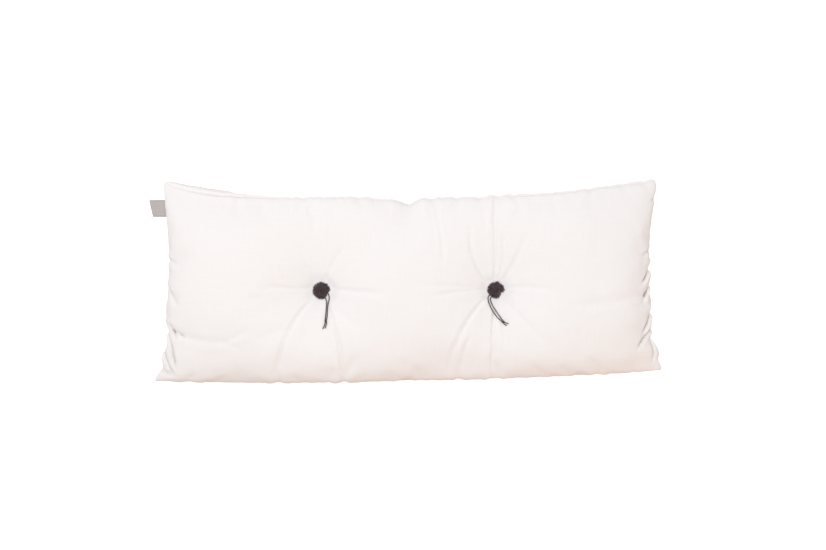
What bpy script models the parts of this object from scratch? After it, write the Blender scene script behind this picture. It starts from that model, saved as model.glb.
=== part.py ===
"""Long filled cushion with two tied tufts, lying on its back face. Metres, +Z up.

The cover is a front and a back panel sewn together round their edge. Two tufts of
yarn draw the front in, each tied with a string that is knotted and left hanging,
and a woven loop label is caught in the left seam.

+X runs along the cushion to the right, +Y to its top edge and +Z out of its front.
The origin is the middle of the bounding box, on the surface that the cushion lies on.
"""

import math

import bmesh
import bpy
import numpy as np
from mathutils import Vector
from mathutils.bvhtree import BVHTree

# Outline of the seam: corner tips, and how far each edge is drawn in at its middle.
CORNERS = {
    "top_left": (-0.476, 0.198),
    "top_right": (0.488, 0.196),
    "bottom_left": (-0.499, -0.192),
    "bottom_right": (0.497, -0.182),
}
DRAWN_IN = {"top": 0.034, "bottom": -0.007, "left": 0.024, "right": 0.031}
DRAWN_IN_POWER = {"top": 2.6, "bottom": 2.2, "left": 2.2, "right": 2.2}
# Stretches where the seam is drawn in further. A place is X on the top and bottom
# edges and Y on the sides.
EDGE_DIPS = [
    # edge, place, depth, half width
    ("top", -0.270, 0.007, 0.100),
    ("top", -0.010, 0.010, 0.055),
    ("top", 0.120, 0.003, 0.050),
    ("left", -0.125, 0.012, 0.042),
    ("left", -0.175, 0.003, 0.016),
    ("right", -0.112, 0.008, 0.030),
]
TIP_ROUND = 0.013
TIP_SHARE = 0.41
# About half the cover's length and width, to turn panel places into metres.
HALF_LONG = 0.49
HALF_SHORT = 0.19

# Filling: the seam's height over the floor, and how far each panel crowns from it.
SEAM_Z = 0.050
SEAM_TIP_DROP = 0.010
SEAM_WAVE = 0.003
FRONT_CROWN = 0.063
BACK_CROWN = 0.059
BOTTOM_HEAVY = 0.08
CROWN_LONG = (6.0, 1.75)
CROWN_SHORT = (2.4, 1.75)
SIDE_BULGE = 0.0045
SIDE_BULGE_DEPTH = 0.014

# Tufts: where they sit and how they draw the filling in.
TUFTS = {"left": (-0.1705, -0.0158), "right": (0.1620, -0.0175)}
FRONT_DIMPLE = 0.037
BACK_DIMPLE = 0.031
DIMPLE_REACH = (0.070, 0.100)
DIMPLE_POWER = 1.15
SEAT_RADIUS = 0.0185
SEAT_RISE = 0.0035
SEAT_BLEND = 0.016
TUFT_RADIUS = 0.0172
TUFT_HEIGHT = 0.0125

STRING_DIAMETER = 0.0020
KNOT_SIZE = (0.0060, 0.0048, 0.0042)
LABEL_TOP, LABEL_BOTTOM = 0.160, 0.128
LABEL_REACH = 0.0265
LABEL_SHEAR = 0.0080
LABEL_END_X = -0.4990
LABEL_LAYER = 0.0010
LABEL_GAP = 0.0006
LABEL_DROOP = 0.004
LABEL_CLEAR = 0.0005
GAP = 0.0003

FINE_GRID = (150, 72)
CUSHION_TRIANGLES = 9400

# The cloth that a crease pushes up beside it: its share of the crease's depth, and its
# place and width in crease widths.
SHOULDER_SHARE = 0.30
SHOULDER_PLACE = 1.9
SHOULDER_WIDTH = 0.9

# Creases that run out from a tuft. Angles are in degrees from +X, the way round to +Y.
# A negative depth is a ridge.
TUFT_CREASES = [
    # tuft, first angle, last angle, reach, depth, width
    ("left", 174, 174, 0.105, 0.0040, 0.007),
    ("left", 2, 356, 0.115, 0.0030, 0.010),
    ("left", 122, 114, 0.095, 0.0030, 0.008),
    ("left", 70, 62, 0.095, 0.0028, 0.008),
    ("left", 221, 243, 0.186, 0.0050, 0.009),
    ("left", 294, 283, 0.178, 0.0055, 0.006),
    ("right", 171, 176, 0.150, 0.0030, 0.009),
    ("right", 178, 184, 0.120, 0.0048, 0.007),
    ("right", 138, 112, 0.130, 0.0052, 0.007),
    ("right", 92, 90, 0.186, 0.0052, 0.007),
    ("right", 73, 84, 0.118, 0.0040, 0.006),
    ("right", 52, 62, 0.120, 0.0040, 0.009),
    ("right", 10, 358, 0.115, 0.0028, 0.009),
    ("right", 217, 238, 0.170, 0.0062, 0.009),
    ("right", 263, 268, 0.170, 0.0052, 0.006),
    ("right", 271, 277, 0.120, -0.0020, 0.007),
    ("right", 311, 312, 0.150, 0.0030, 0.010),
]

# Creases of the back panel, round both tufts.
BACK_CREASES = [
    # tuft, first angle, last angle, reach, depth, width
    ("left", 96, 88, 0.175, 0.0045, 0.010),
    ("left", 268, 276, 0.170, 0.0045, 0.010),
    ("left", 150, 160, 0.110, 0.0035, 0.010),
    ("left", 28, 20, 0.110, 0.0035, 0.010),
    ("left", 215, 208, 0.105, 0.0030, 0.010),
    ("left", 325, 332, 0.105, 0.0030, 0.010),
    ("right", 88, 94, 0.175, 0.0045, 0.010),
    ("right", 274, 266, 0.170, 0.0045, 0.010),
    ("right", 156, 150, 0.110, 0.0035, 0.010),
    ("right", 24, 32, 0.110, 0.0035, 0.010),
    ("right", 208, 216, 0.105, 0.0030, 0.010),
    ("right", 334, 326, 0.105, 0.0030, 0.010),
]

# Folds of the front panel that don't start at a tuft.
FRONT_FOLDS = [
    # from x, from y, to x, to y, bend, depth, width
    (-0.440, -0.096, -0.352, -0.108, -0.006, 0.0050, 0.012),
    (-0.352, -0.108, -0.310, -0.084, -0.004, 0.0028, 0.010),
    (-0.362, -0.110, -0.320, -0.126, 0.002, 0.0028, 0.009),
    (0.470, -0.024, 0.296, -0.046, 0.006, 0.0060, 0.014),
    (0.486, -0.055, 0.430, -0.048, -0.003, 0.0040, 0.009),
    (0.043, 0.160, 0.060, 0.028, 0.005, 0.0040, 0.008),
    (0.030, 0.158, 0.046, 0.060, 0.004, 0.0024, 0.007),
    (0.110, -0.105, 0.094, -0.176, -0.003, 0.0046, 0.008),
    (0.140, 0.150, 0.142, 0.100, 0.000, 0.0028, 0.008),
    (-0.462, -0.104, -0.452, -0.150, 0.004, 0.0055, 0.007),
    (-0.470, -0.140, -0.450, -0.186, -0.003, 0.0055, 0.007),
    (0.474, -0.062, 0.452, -0.106, 0.002, 0.0078, 0.007),
    (0.480, -0.098, 0.442, -0.134, -0.006, 0.0070, 0.008),
    (0.479, -0.116, 0.483, -0.158, 0.006, 0.0060, 0.007),
]

# Pleats gathered into the seam, on both panels. A place is X on the top and bottom
# edges and Y on the sides, and lean is the sideways shift for each metre inwards.
GATHERS = [
    # edge, place, lean, reach, depth, width
    ("top", -0.405, 0.0, 0.014, 0.0030, 0.010),
    ("top", -0.258, -0.3, 0.020, 0.0060, 0.009),
    ("top", -0.150, 0.5, 0.013, 0.0030, 0.008),
    ("top", -0.003, 0.1, 0.030, 0.0140, 0.013),
    ("top", 0.040, 0.3, 0.026, 0.0034, 0.007),
    ("top", 0.088, -0.4, 0.018, 0.0058, 0.008),
    ("top", 0.134, 0.0, 0.024, 0.0032, 0.009),
    ("top", 0.170, 0.0, 0.030, 0.0042, 0.007),
    ("top", 0.268, 0.4, 0.014, 0.0028, 0.010),
    ("top", 0.360, -0.4, 0.018, 0.0046, 0.009),
    ("top", 0.410, 0.2, 0.014, 0.0034, 0.008),
    ("top", 0.448, 0.5, 0.012, 0.0030, 0.006),
    ("left", 0.110, 0.0, 0.014, 0.0028, 0.010),
    ("left", 0.047, -0.5, 0.020, 0.0062, 0.007),
    ("left", -0.044, -0.3, 0.026, 0.0050, 0.009),
    ("left", -0.089, -0.2, 0.030, 0.0098, 0.009),
    ("left", -0.140, 0.4, 0.018, 0.0046, 0.008),
    ("left", -0.172, 0.5, 0.014, 0.0044, 0.006),
    ("right", 0.150, -0.3, 0.014, 0.0032, 0.008),
    ("right", 0.058, -0.4, 0.022, 0.0056, 0.009),
    ("right", 0.000, -0.4, 0.018, 0.0040, 0.008),
    ("right", -0.053, -0.9, 0.028, 0.0088, 0.008),
    ("right", -0.100, -0.8, 0.026, 0.0064, 0.008),
    ("right", -0.126, -0.4, 0.020, 0.0062, 0.007),
    ("right", -0.160, 0.3, 0.014, 0.0046, 0.007),
    ("bottom", -0.430, 0.3, 0.014, 0.0034, 0.010),
    ("bottom", -0.330, 0.0, 0.016, 0.0036, 0.010),
    ("bottom", -0.255, 0.1, 0.024, 0.0046, 0.009),
    ("bottom", -0.131, 0.2, 0.028, 0.0056, 0.007),
    ("bottom", -0.030, 0.0, 0.016, 0.0036, 0.010),
    ("bottom", 0.093, -0.2, 0.026, 0.0056, 0.008),
    ("bottom", 0.163, 0.1, 0.026, 0.0056, 0.007),
    ("bottom", 0.250, 0.2, 0.016, 0.0036, 0.010),
    ("bottom", 0.345, 0.0, 0.014, 0.0032, 0.010),
    ("bottom", 0.430, -0.3, 0.014, 0.0040, 0.008),
]

# Notches in a tuft's rim, where its yarn parts.
TUFT_NOTCHES = {
    # angle, depth as a share of the radius, half width in degrees
    "left": [(-21, 0.28, 11), (-46, 0.15, 20)],
    "right": [(-30, 0.32, 12), (-52, 0.14, 16), (49, 0.12, 10), (220, 0.09, 16), (110, 0.05, 20)],
}
TUFT_STEPS = 44
# Rings of a tuft's backing from its middle out and down, and the locks of yarn that
# leave the band below each ring: every second step of the ring has one.
TUFT_RINGS = [
    # share of the radius, share of the height, lock length, lift in degrees
    (0.10, 0.66, 0.0, 0),
    (0.27, 0.74, 0.0030, 62),
    (0.47, 0.77, 0.0034, 38),
    (0.66, 0.66, 0.0038, 14),
    (0.76, 0.43, 0.0037, -4),
    (0.77, 0.18, 0.0, 0),
    (0.66, 0.00, 0.0, 0),
]
LOCK_TAPER = 0.72
LOCK_UNEVEN = 0.14

# Routes of the strings over the front, from the tuft to the knot and from the knot
# to the free end: X and Y from the tuft's middle, and a lift off the cloth.
STRINGS = {
    "left_tie_a": [
        (0.0128, -0.0056, 0.0),
        (0.0142, -0.0100, 0.0),
        (0.0147, -0.0154, 0.0),
        (0.0139, -0.0203, 0.0),
        (0.0127, -0.0250, 0.0),
        (0.0118, -0.0311, 0.0),
        (0.0114, -0.0384, 0.0),
        (0.0110, -0.0455, 0.0),
        (0.0098, -0.0530, 0.0003),
    ],
    "left_tie_b": [
        (0.0080, -0.0153, 0.0),
        (0.0090, -0.0194, 0.0),
        (0.0100, -0.0240, 0.0),
        (0.0093, -0.0311, 0.0),
        (0.0087, -0.0384, 0.0),
        (0.0081, -0.0455, 0.0),
        (0.0073, -0.0530, 0.0003),
    ],
    "left_end_a": [
        (0.0072, -0.0596, 0.0003),
        (0.0058, -0.0640, 0.0),
        (0.0040, -0.0682, 0.0),
        (0.0022, -0.0721, 0.0),
    ],
    "left_end_b": [
        (0.0097, -0.0596, 0.0003),
        (0.0089, -0.0638, 0.0),
        (0.0078, -0.0674, 0.0),
        (0.0068, -0.0707, 0.0),
    ],
    "right_tie_a": [
        (-0.0136, -0.0112, 0.0),
        (-0.0152, -0.0155, 0.0),
        (-0.0147, -0.0205, 0.0),
        (-0.0134, -0.0250, 0.0),
        (-0.0092, -0.0350, 0.0),
        (-0.0043, -0.0432, 0.0),
        (0.0017, -0.0516, 0.0),
        (0.0089, -0.0582, 0.0003),
    ],
    "right_tie_b": [
        (-0.0099, -0.0151, 0.0),
        (-0.0103, -0.0186, 0.0),
        (-0.0092, -0.0232, 0.0),
        (-0.0070, -0.0285, 0.0),
        (-0.0043, -0.0337, 0.0),
        (0.0017, -0.0432, 0.0),
        (0.0071, -0.0509, 0.0),
        (0.0110, -0.0563, 0.0003),
    ],
    "right_end_a": [
        (0.0142, -0.0638, 0.0003),
        (0.0166, -0.0656, 0.0),
        (0.0192, -0.0670, 0.0),
    ],
    "right_end_b": [
        (0.0159, -0.0611, 0.0003),
        (0.0194, -0.0625, 0.0),
        (0.0228, -0.0638, 0.0),
    ],
}
# X and Y of each knot from the tuft's middle, and its turn in degrees.
KNOTS = {"left_knot": (0.0085, -0.0563, 88), "right_knot": (0.0125, -0.0600, -48)}

# The string's short stitch across the back of each tuft.
STITCH_HALF = 0.0055
STITCH_SINK = 0.0016

COLOURS = {
    "cotton": (0.86, 0.80, 0.77),
    "wool": (0.026, 0.020, 0.021),
    "string": (0.045, 0.034, 0.031),
    "ribbon": (0.42, 0.40, 0.40),
}


def smooth_step(value):
    """Eases from 0 to 1 as the value does."""
    share = np.clip(value, 0.0, 1.0)
    return share * share * (3.0 - 2.0 * share)


def crease_profile(sideways, width):
    """Trough of depth 1 with a low shoulder each side, across a crease."""
    across = np.abs(sideways) / width
    shoulder = np.exp(-(((across - SHOULDER_PLACE) / SHOULDER_WIDTH) ** 2))
    return np.exp(-(across**2)) - SHOULDER_SHARE * shoulder


def outline(edge, place):
    """Points of one edge of the seam, for places from -1 to 1 along it."""
    ends = {
        "top": ("top_left", "top_right"),
        "bottom": ("bottom_left", "bottom_right"),
        "left": ("bottom_left", "top_left"),
        "right": ("bottom_right", "top_right"),
    }[edge]
    inward = {"top": (0, -1), "bottom": (0, 1), "left": (1, 0), "right": (-1, 0)}[edge]
    first, last = (np.array(CORNERS[name]) for name in ends)
    share = ((place + 1.0) / 2.0)[..., None]
    straight = first * (1.0 - share) + last * share
    bow = DRAWN_IN[edge] * (1.0 - np.abs(place) ** DRAWN_IN_POWER[edge])
    along = straight[..., 1 if edge in ("left", "right") else 0]
    for dipped, middle, depth, half in EDGE_DIPS:
        if dipped == edge:
            dip = np.exp(-(((along - middle) / half) ** 2))
            bow = bow + depth * dip * (1.0 - place**8)
    return straight + bow[..., None] * np.array(inward)


def plan_of(u, v):
    """X and Y of the cloth for panel places u and v, from a Coons patch of the outline."""
    across, up = ((u + 1.0) / 2.0)[..., None], ((v + 1.0) / 2.0)[..., None]
    corner = {name: np.array(point) for name, point in CORNERS.items()}
    edges = (1 - up) * outline("bottom", u) + up * outline("top", u)
    sides = (1 - across) * outline("left", v) + across * outline("right", v)
    bottom = (1 - across) * corner["bottom_left"] + across * corner["bottom_right"]
    top = (1 - across) * corner["top_left"] + across * corner["top_right"]
    plan = edges + sides - (1 - up) * bottom - up * top
    for tip in corner.values():
        from_tip = np.linalg.norm(plan - tip, axis=-1)
        pull = TIP_SHARE * TIP_ROUND * np.clip(1 - from_tip / TIP_ROUND, 0, 1) ** 2
        plan = plan - pull[..., None] * tip / np.linalg.norm(tip)
    return plan


def crown(place, powers):
    """Rise of the filled cover from its seam, 0 at the seam and 1 in the middle."""
    return np.clip(1.0 - np.abs(place) ** powers[0], 0.0, 1.0) ** (1.0 / powers[1])


def seam_height(u, v):
    """Height of the seam, lower at the corner tips and a little wavy between them."""
    wave = np.sin(7.0 * u + 1.0) * np.cos(3.0 * v) * SEAM_WAVE
    return SEAM_Z + wave - SEAM_TIP_DROP * (u * v) ** 4


def panel_points(u, v, front):
    """Points of one panel before its creases, for places u and v from -1 to 1."""
    plan = plan_of(u, v)
    rise = crown(u, CROWN_LONG) * crown(v, CROWN_SHORT)
    height = (FRONT_CROWN if front else BACK_CROWN) * rise * (1.0 - BOTTOM_HEAVY * v)
    for axis, place, other, half in ((0, u, v, HALF_LONG), (1, v, u, HALF_SHORT)):
        near = (1.0 - np.abs(place)) * half / SIDE_BULGE_DEPTH
        bulge = SIDE_BULGE * near * np.exp(1.0 - near) * (1.0 - other**6)
        plan[..., axis] += bulge * np.sign(place)
    dimple = FRONT_DIMPLE if front else BACK_DIMPLE
    for x, y in TUFTS.values():
        dx, dy = plan[..., 0] - x, plan[..., 1] - y
        away = np.hypot(dx / DIMPLE_REACH[0], dy / DIMPLE_REACH[1])
        height = height - dimple * np.exp(-(away**DIMPLE_POWER)) * np.sqrt(rise)
    for x, y in TUFTS.values():
        away = np.hypot(plan[..., 0] - x, plan[..., 1] - y)
        seat = (FRONT_CROWN if front else BACK_CROWN) - dimple + SEAT_RISE
        blend = smooth_step((away - SEAT_RADIUS) / SEAT_BLEND)
        height = seat * (1.0 - blend) + height * blend
    z = seam_height(u, v) + (height if front else -height)
    return np.concatenate([plan, z[..., None]], axis=-1)


def tuft_crease_relief(x, y, rows):
    """Depth of the creases round the tufts at points of a panel."""
    relief = np.zeros_like(x)
    for tuft, first, last, reach, depth, width in rows:
        dx, dy = x - TUFTS[tuft][0], y - TUFTS[tuft][1]
        away, angle = np.hypot(dx, dy), np.degrees(np.arctan2(dy, dx))
        along = (away - SEAT_RADIUS) / (reach - SEAT_RADIUS)
        turn = (last - first + 180.0) % 360.0 - 180.0
        off = angle - first - turn * np.clip(along, 0.0, 1.2)
        off = np.radians((off + 180.0) % 360.0 - 180.0)
        fade = smooth_step(along * 6.0) * smooth_step((1.15 - along) * 2.2)
        sideways = away * np.clip(off, -1.2, 1.2)
        relief += depth * fade * crease_profile(sideways, width * (0.7 + 0.5 * along))
    return relief


def fold_relief(x, y):
    """Depth of the front panel's other folds."""
    relief = np.zeros_like(x)
    for x0, y0, x1, y1, bend, depth, width in FRONT_FOLDS:
        length = math.hypot(x1 - x0, y1 - y0)
        ax, ay = (x1 - x0) / length, (y1 - y0) / length
        along = ((x - x0) * ax + (y - y0) * ay) / length
        sideways = (y - y0) * ax - (x - x0) * ay - 4.0 * bend * along * (1.0 - along)
        fade = smooth_step((along + 0.12) * 4.0) * smooth_step((1.12 - along) * 2.5)
        relief += depth * fade * crease_profile(sideways, width)
    return relief


def gather_relief(u, v, x, y):
    """Depth of the pleats gathered into the seam."""
    relief = np.zeros_like(x)
    for edge, place, lean, reach, depth, width in GATHERS:
        upright = edge in ("left", "right")
        inwards = {
            "top": (1.0 - v) * HALF_SHORT,
            "bottom": (1.0 + v) * HALF_SHORT,
            "left": (1.0 + u) * HALF_LONG,
            "right": (1.0 - u) * HALF_LONG,
        }[edge]
        sideways = (y if upright else x) - place - lean * inwards
        fade = np.exp(-((inwards / reach) ** 1.4))
        relief += depth * fade * crease_profile(sideways, width * (1 + 8 * inwards))
    return relief


def grid_places(count):
    """Places from -1 to 1, closer together towards the edges."""
    even = np.linspace(-1.0, 1.0, count + 1)
    return 0.45 * even + 0.55 * np.sin(even * math.pi / 2.0)


def material(name, roughness, sheen=0.0):
    """Principled material in one of the part's colours."""
    made = bpy.data.materials.new(name)
    made.use_nodes = True
    shader = made.node_tree.nodes["Principled BSDF"]
    shader.inputs["Base Color"].default_value = (*COLOURS[name], 1.0)
    shader.inputs["Roughness"].default_value = roughness
    shader.inputs["Sheen Weight"].default_value = sheen
    made.diffuse_color = (*COLOURS[name], 1.0)
    return made


def add_object(name, data, finish, parent):
    """Links an object with its material under the cushion's empty."""
    made = bpy.data.objects.new(name, data)
    data.materials.append(finish)
    bpy.context.scene.collection.objects.link(made)
    made.parent = parent
    return made


def make_cushion(finish, parent):
    """The filled cover: both panels as one closed solid, its flat back on the floor."""
    columns, rows = FINE_GRID
    u, v = np.meshgrid(grid_places(columns), grid_places(rows), indexing="ij")
    front, back = panel_points(u, v, True), panel_points(u, v, False)
    index = np.arange(u.size).reshape(u.shape)
    under = index + u.size
    rim = np.zeros(u.shape, bool)
    rim[[0, -1], :] = rim[:, [0, -1]] = True
    under[rim] = index[rim]
    faces = []
    for i in range(columns):
        for j in range(rows):
            cell = [(i, j), (i + 1, j), (i + 1, j + 1), (i, j + 1)]
            faces.append([int(index[c]) for c in cell])
            faces.append([int(under[c]) for c in reversed(cell)])
    points = np.concatenate([front.reshape(-1, 3), back.reshape(-1, 3)])
    mesh = bpy.data.meshes.new("cushion")
    mesh.from_pydata(points.tolist(), [], faces)
    mesh.update()
    normals = np.empty(len(points) * 3)
    mesh.vertex_normals.foreach_get("vector", normals)

    x, y = front[..., 0], front[..., 1]
    near_seam = smooth_step((1 - np.abs(v)) * 14.0) * smooth_step((1 - np.abs(u)) * 36.0)
    gathers = gather_relief(u, v, x, y)
    on_front = tuft_crease_relief(x, y, TUFT_CREASES) + fold_relief(x, y)
    on_back = tuft_crease_relief(x, y, BACK_CREASES)
    relief = np.stack([on_front, on_back]) * near_seam + gathers
    points -= normals.reshape(-1, 3) * relief.reshape(-1, 1)
    points[:, 2] = np.maximum(points[:, 2], 0.0)
    mesh.vertices.foreach_set("co", points.ravel())

    shape = bmesh.new()
    shape.from_mesh(mesh)
    loose = [vertex for vertex in shape.verts if not vertex.link_faces]
    bmesh.ops.delete(shape, geom=loose, context="VERTS")
    shape.to_mesh(mesh)
    shape.free()
    mesh.shade_smooth()
    made = add_object("cushion", mesh, finish, parent)
    fewer = made.modifiers.new("fewer faces", "DECIMATE")
    fewer.ratio = CUSHION_TRIANGLES / (4.0 * columns * rows)
    return made


def surface_tree(made):
    """Search tree over an object's evaluated faces."""
    return BVHTree.FromObject(made, bpy.context.evaluated_depsgraph_get())


def height_over(tree, x, y, up=True):
    """Height of the cushion's front (or its back, seen from below) at X and Y."""
    start = Vector((x, y, 1.0 if up else -1.0))
    return tree.ray_cast(start, Vector((0, 0, -1 if up else 1)))[0].z


def tuft_reach(name, angle):
    """Share of a tuft's radius that its yarn reaches at an angle in radians."""
    reach = 1.0
    for middle, depth, half in TUFT_NOTCHES[name]:
        off = (math.degrees(angle) - middle + 180.0) % 360.0 - 180.0
        reach -= depth * math.exp(-((off / half) ** 2))
    return reach


def add_lock(shape, root, way):
    """One four-sided lock of yarn on the four vertices of its root."""
    middle = sum((vertex.co for vertex in root), Vector()) / 4
    tip = [shape.verts.new(middle + way + (v.co - middle) * LOCK_TAPER) for v in root]
    for k in range(4):
        n = (k + 1) % 4
        shape.faces.new((root[k], root[n], tip[n], tip[k]))
    shape.faces.new(tip)


def make_tuft(name, tree, finish, parent):
    """A tuft: a low backing with layers of yarn locks that fan out from its middle."""
    x, y = TUFTS[name]
    angles = [2 * math.pi * i / TUFT_STEPS for i in range(TUFT_STEPS)]
    seat = max(
        height_over(tree, x + r * math.cos(angle), y + r * math.sin(angle))
        for r in (0.0, 0.4 * TUFT_RADIUS, 0.8 * TUFT_RADIUS, TUFT_RADIUS)
        for angle in angles
    )
    shape = bmesh.new()
    middle_top = shape.verts.new((0, 0, 0.60 * TUFT_HEIGHT))
    middle_base = shape.verts.new((0, 0, 0))
    rings = []
    for radius_share, height_share, _, _ in TUFT_RINGS:
        ring = []
        for angle in angles:
            reach = TUFT_RADIUS * tuft_reach(name, angle) * radius_share
            place = (reach * math.cos(angle), reach * math.sin(angle))
            ring.append(shape.verts.new((*place, TUFT_HEIGHT * height_share)))
        rings.append(ring)
    for i in range(TUFT_STEPS):
        j = (i + 1) % TUFT_STEPS
        shape.faces.new((middle_top, rings[0][i], rings[0][j]))
        shape.faces.new((middle_base, rings[-1][j], rings[-1][i]))
        out = (i + 0.5) * 2 * math.pi / TUFT_STEPS
        for band, (upper, lower) in enumerate(zip(rings, rings[1:])):
            cell = (upper[i], lower[i], lower[j], upper[j])
            _, _, length, lift = TUFT_RINGS[band]
            if not length or (i + band) % 2:
                shape.faces.new(cell)
                continue
            uneven = 1.0 + LOCK_UNEVEN * math.sin(2.4 * i + 1.7 * band)
            length *= uneven * tuft_reach(name, out)
            rise = math.radians(lift * uneven)
            flat = length * math.cos(rise)
            way = (flat * math.cos(out), flat * math.sin(out), length * math.sin(rise))
            add_lock(shape, cell, Vector(way))
    mesh = bpy.data.meshes.new("tuft_" + name)
    shape.to_mesh(mesh)
    shape.free()
    made = add_object("tuft_" + name, mesh, finish, parent)
    made.location = (x, y, seat + GAP)
    return made


def smooth_route(points, step):
    """Points about a step apart on a Catmull-Rom curve through a route's own points."""
    ends = [2 * points[0] - points[1], *points, 2 * points[-1] - points[-2]]
    fine = []
    for a, b, c, d in zip(ends, ends[1:], ends[2:], ends[3:]):
        count = max(1, round((c - b).length / step))
        for i in range(count):
            t = i / count
            fine.append(
                0.5
                * (
                    2 * b
                    + (c - a) * t
                    + (2 * a - 5 * b + 4 * c - d) * t**2
                    + (3 * b - a - 3 * c + d) * t**3
                )
            )
    return [*fine, points[-1]]


def make_tube(name, points, finish, parent):
    """A round string along the points."""
    curve = bpy.data.curves.new(name, "CURVE")
    curve.dimensions = "3D"
    curve.bevel_depth = STRING_DIAMETER / 2
    curve.bevel_resolution = 2
    curve.use_fill_caps = True
    spline = curve.splines.new("POLY")
    spline.points.add(len(points) - 1)
    for place, point in zip(spline.points, points):
        place.co = (*point, 1.0)
    return add_object(name, curve, finish, parent)


def make_string(name, tree, finish, parent):
    """One stretch of a tie, lying on the front."""
    tuft_x, tuft_y = TUFTS[name.split("_")[0]]
    radius = STRING_DIAMETER / 2
    route = [Vector((tuft_x + x, tuft_y + y, lift)) for x, y, lift in STRINGS[name]]
    points = smooth_route(route, 2.0 * STRING_DIAMETER)
    for point in points:
        under = max(
            height_over(tree, point.x + i * radius, point.y + j * radius)
            for i, j in ((0, 0), (1, 0), (-1, 0), (0, 1), (0, -1))
        )
        point.z += under + radius + GAP
    heights = [point.z for point in points]
    for before, point, after in zip(heights, points[1:], heights[2:]):
        point.z = max(point.z, (before + after) / 2)
    return make_tube(name, points, finish, parent)


def make_knot(name, tree, finish, parent):
    """The overhand knot that joins a tie's two strings."""
    tuft_x, tuft_y = TUFTS[name.split("_")[0]]
    x, y, turn = tuft_x + KNOTS[name][0], tuft_y + KNOTS[name][1], KNOTS[name][2]
    shape = bmesh.new()
    bmesh.ops.create_uvsphere(shape, u_segments=16, v_segments=10, radius=0.5)
    for vertex in shape.verts:
        wrap = 1.0 + 0.10 * math.cos(3.0 * math.atan2(vertex.co.y, vertex.co.z))
        waist = 1.0 - 0.12 * math.exp(-((vertex.co.x / 0.12) ** 2))
        vertex.co.y *= wrap * waist
        vertex.co.z *= wrap * waist
        vertex.co = Vector([c * size for c, size in zip(vertex.co, KNOT_SIZE)])
    lowest = min(vertex.co.z for vertex in shape.verts)
    mesh = bpy.data.meshes.new(name)
    shape.to_mesh(mesh)
    shape.free()
    mesh.shade_smooth()
    half = KNOT_SIZE[0] / 2
    under = max(
        height_over(tree, x + i * half / 2, y + j * half / 2)
        for i in (-2, -1, 0, 1, 2)
        for j in (-2, -1, 0, 1, 2)
    )
    made = add_object(name, mesh, finish, parent)
    made.location = (x, y, under + GAP - lowest)
    made.rotation_euler.z = math.radians(turn)
    return made


def make_stitch(name, tree, finish, parent):
    """The string's short stitch over the back cloth, under a tuft."""
    x, y = TUFTS[name]
    lowest = min(
        height_over(tree, x + i * STITCH_HALF / 3, y, up=False) for i in range(-3, 4)
    )
    under = lowest - STRING_DIAMETER / 2 - GAP
    points = [
        Vector((x + share * STITCH_HALF, y, under - STITCH_SINK * (1 - share**2)))
        for share in (-1.0, -0.6, -0.2, 0.2, 0.6, 1.0)
    ]
    return make_tube("back_stitch_" + name, points, finish, parent)


def make_label(tree, finish, parent):
    """A woven tape folded into a loop, its two ends meeting the left seam."""
    rows = 8
    bends = 6
    thick = 2 * LABEL_LAYER + LABEL_GAP
    shape = bmesh.new()
    strips = []
    for i in range(rows + 1):
        share = i / rows
        y = LABEL_TOP + (LABEL_BOTTOM - LABEL_TOP) * share
        seam = min(
            tree.ray_cast(Vector((-1.0, y, SEAM_Z + k * thick / 4)), Vector((1, 0, 0)))[0].x
            for k in (-2, -1, 0, 1, 2)
        )
        start = seam - LABEL_CLEAR
        end = LABEL_END_X + LABEL_SHEAR * share
        fold = end + thick / 2
        ring = []
        outer = [(start, 1), (0.5 * (start + fold), 1), (fold, 1)]
        for x, side in outer:
            ring.append((x, side * thick / 2))
        for k in range(1, bends):
            turn = math.pi * (0.5 + k / bends)
            ring.append((fold + thick / 2 * math.cos(turn), thick / 2 * math.sin(turn)))
        for x, side in reversed(outer):
            ring.append((x, -side * thick / 2))
        inner = [(start, -1), (0.5 * (start + fold), -1), (fold, -1)]
        for x, side in inner:
            ring.append((x, side * LABEL_GAP / 2))
        ring.append((fold - LABEL_GAP / 2, 0.0))
        for x, side in reversed(inner):
            ring.append((x, -side * LABEL_GAP / 2))
        strip = []
        for x, z in ring:
            out = (start - x) / LABEL_REACH
            sag = LABEL_DROOP * out**2
            strip.append(shape.verts.new((x, y, SEAM_Z + z - sag)))
        strips.append(strip)
    size = len(strips[0])
    for first, second in zip(strips, strips[1:]):
        for k in range(size):
            n = (k + 1) % size
            shape.faces.new((first[k], first[n], second[n], second[k]))
    shape.faces.new(list(reversed(strips[0])))
    shape.faces.new(strips[-1])
    bmesh.ops.recalc_face_normals(shape, faces=shape.faces)
    mesh = bpy.data.meshes.new("label")
    shape.to_mesh(mesh)
    shape.free()
    return add_object("label", mesh, finish, parent)


def centre_on_floor(parent, cords):
    """Moves the parent so that the bounding box, without the strings, is over the origin."""
    graph = bpy.context.evaluated_depsgraph_get()
    points = []
    for made in parent.children:
        if made.name not in cords:
            ready = made.evaluated_get(graph)
            points += [made.matrix_world @ vert.co for vert in ready.to_mesh().vertices]
            ready.to_mesh_clear()
    for axis in (0, 1):
        low = min(point[axis] for point in points)
        high = max(point[axis] for point in points)
        parent.location[axis] = -(low + high) / 2


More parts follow.
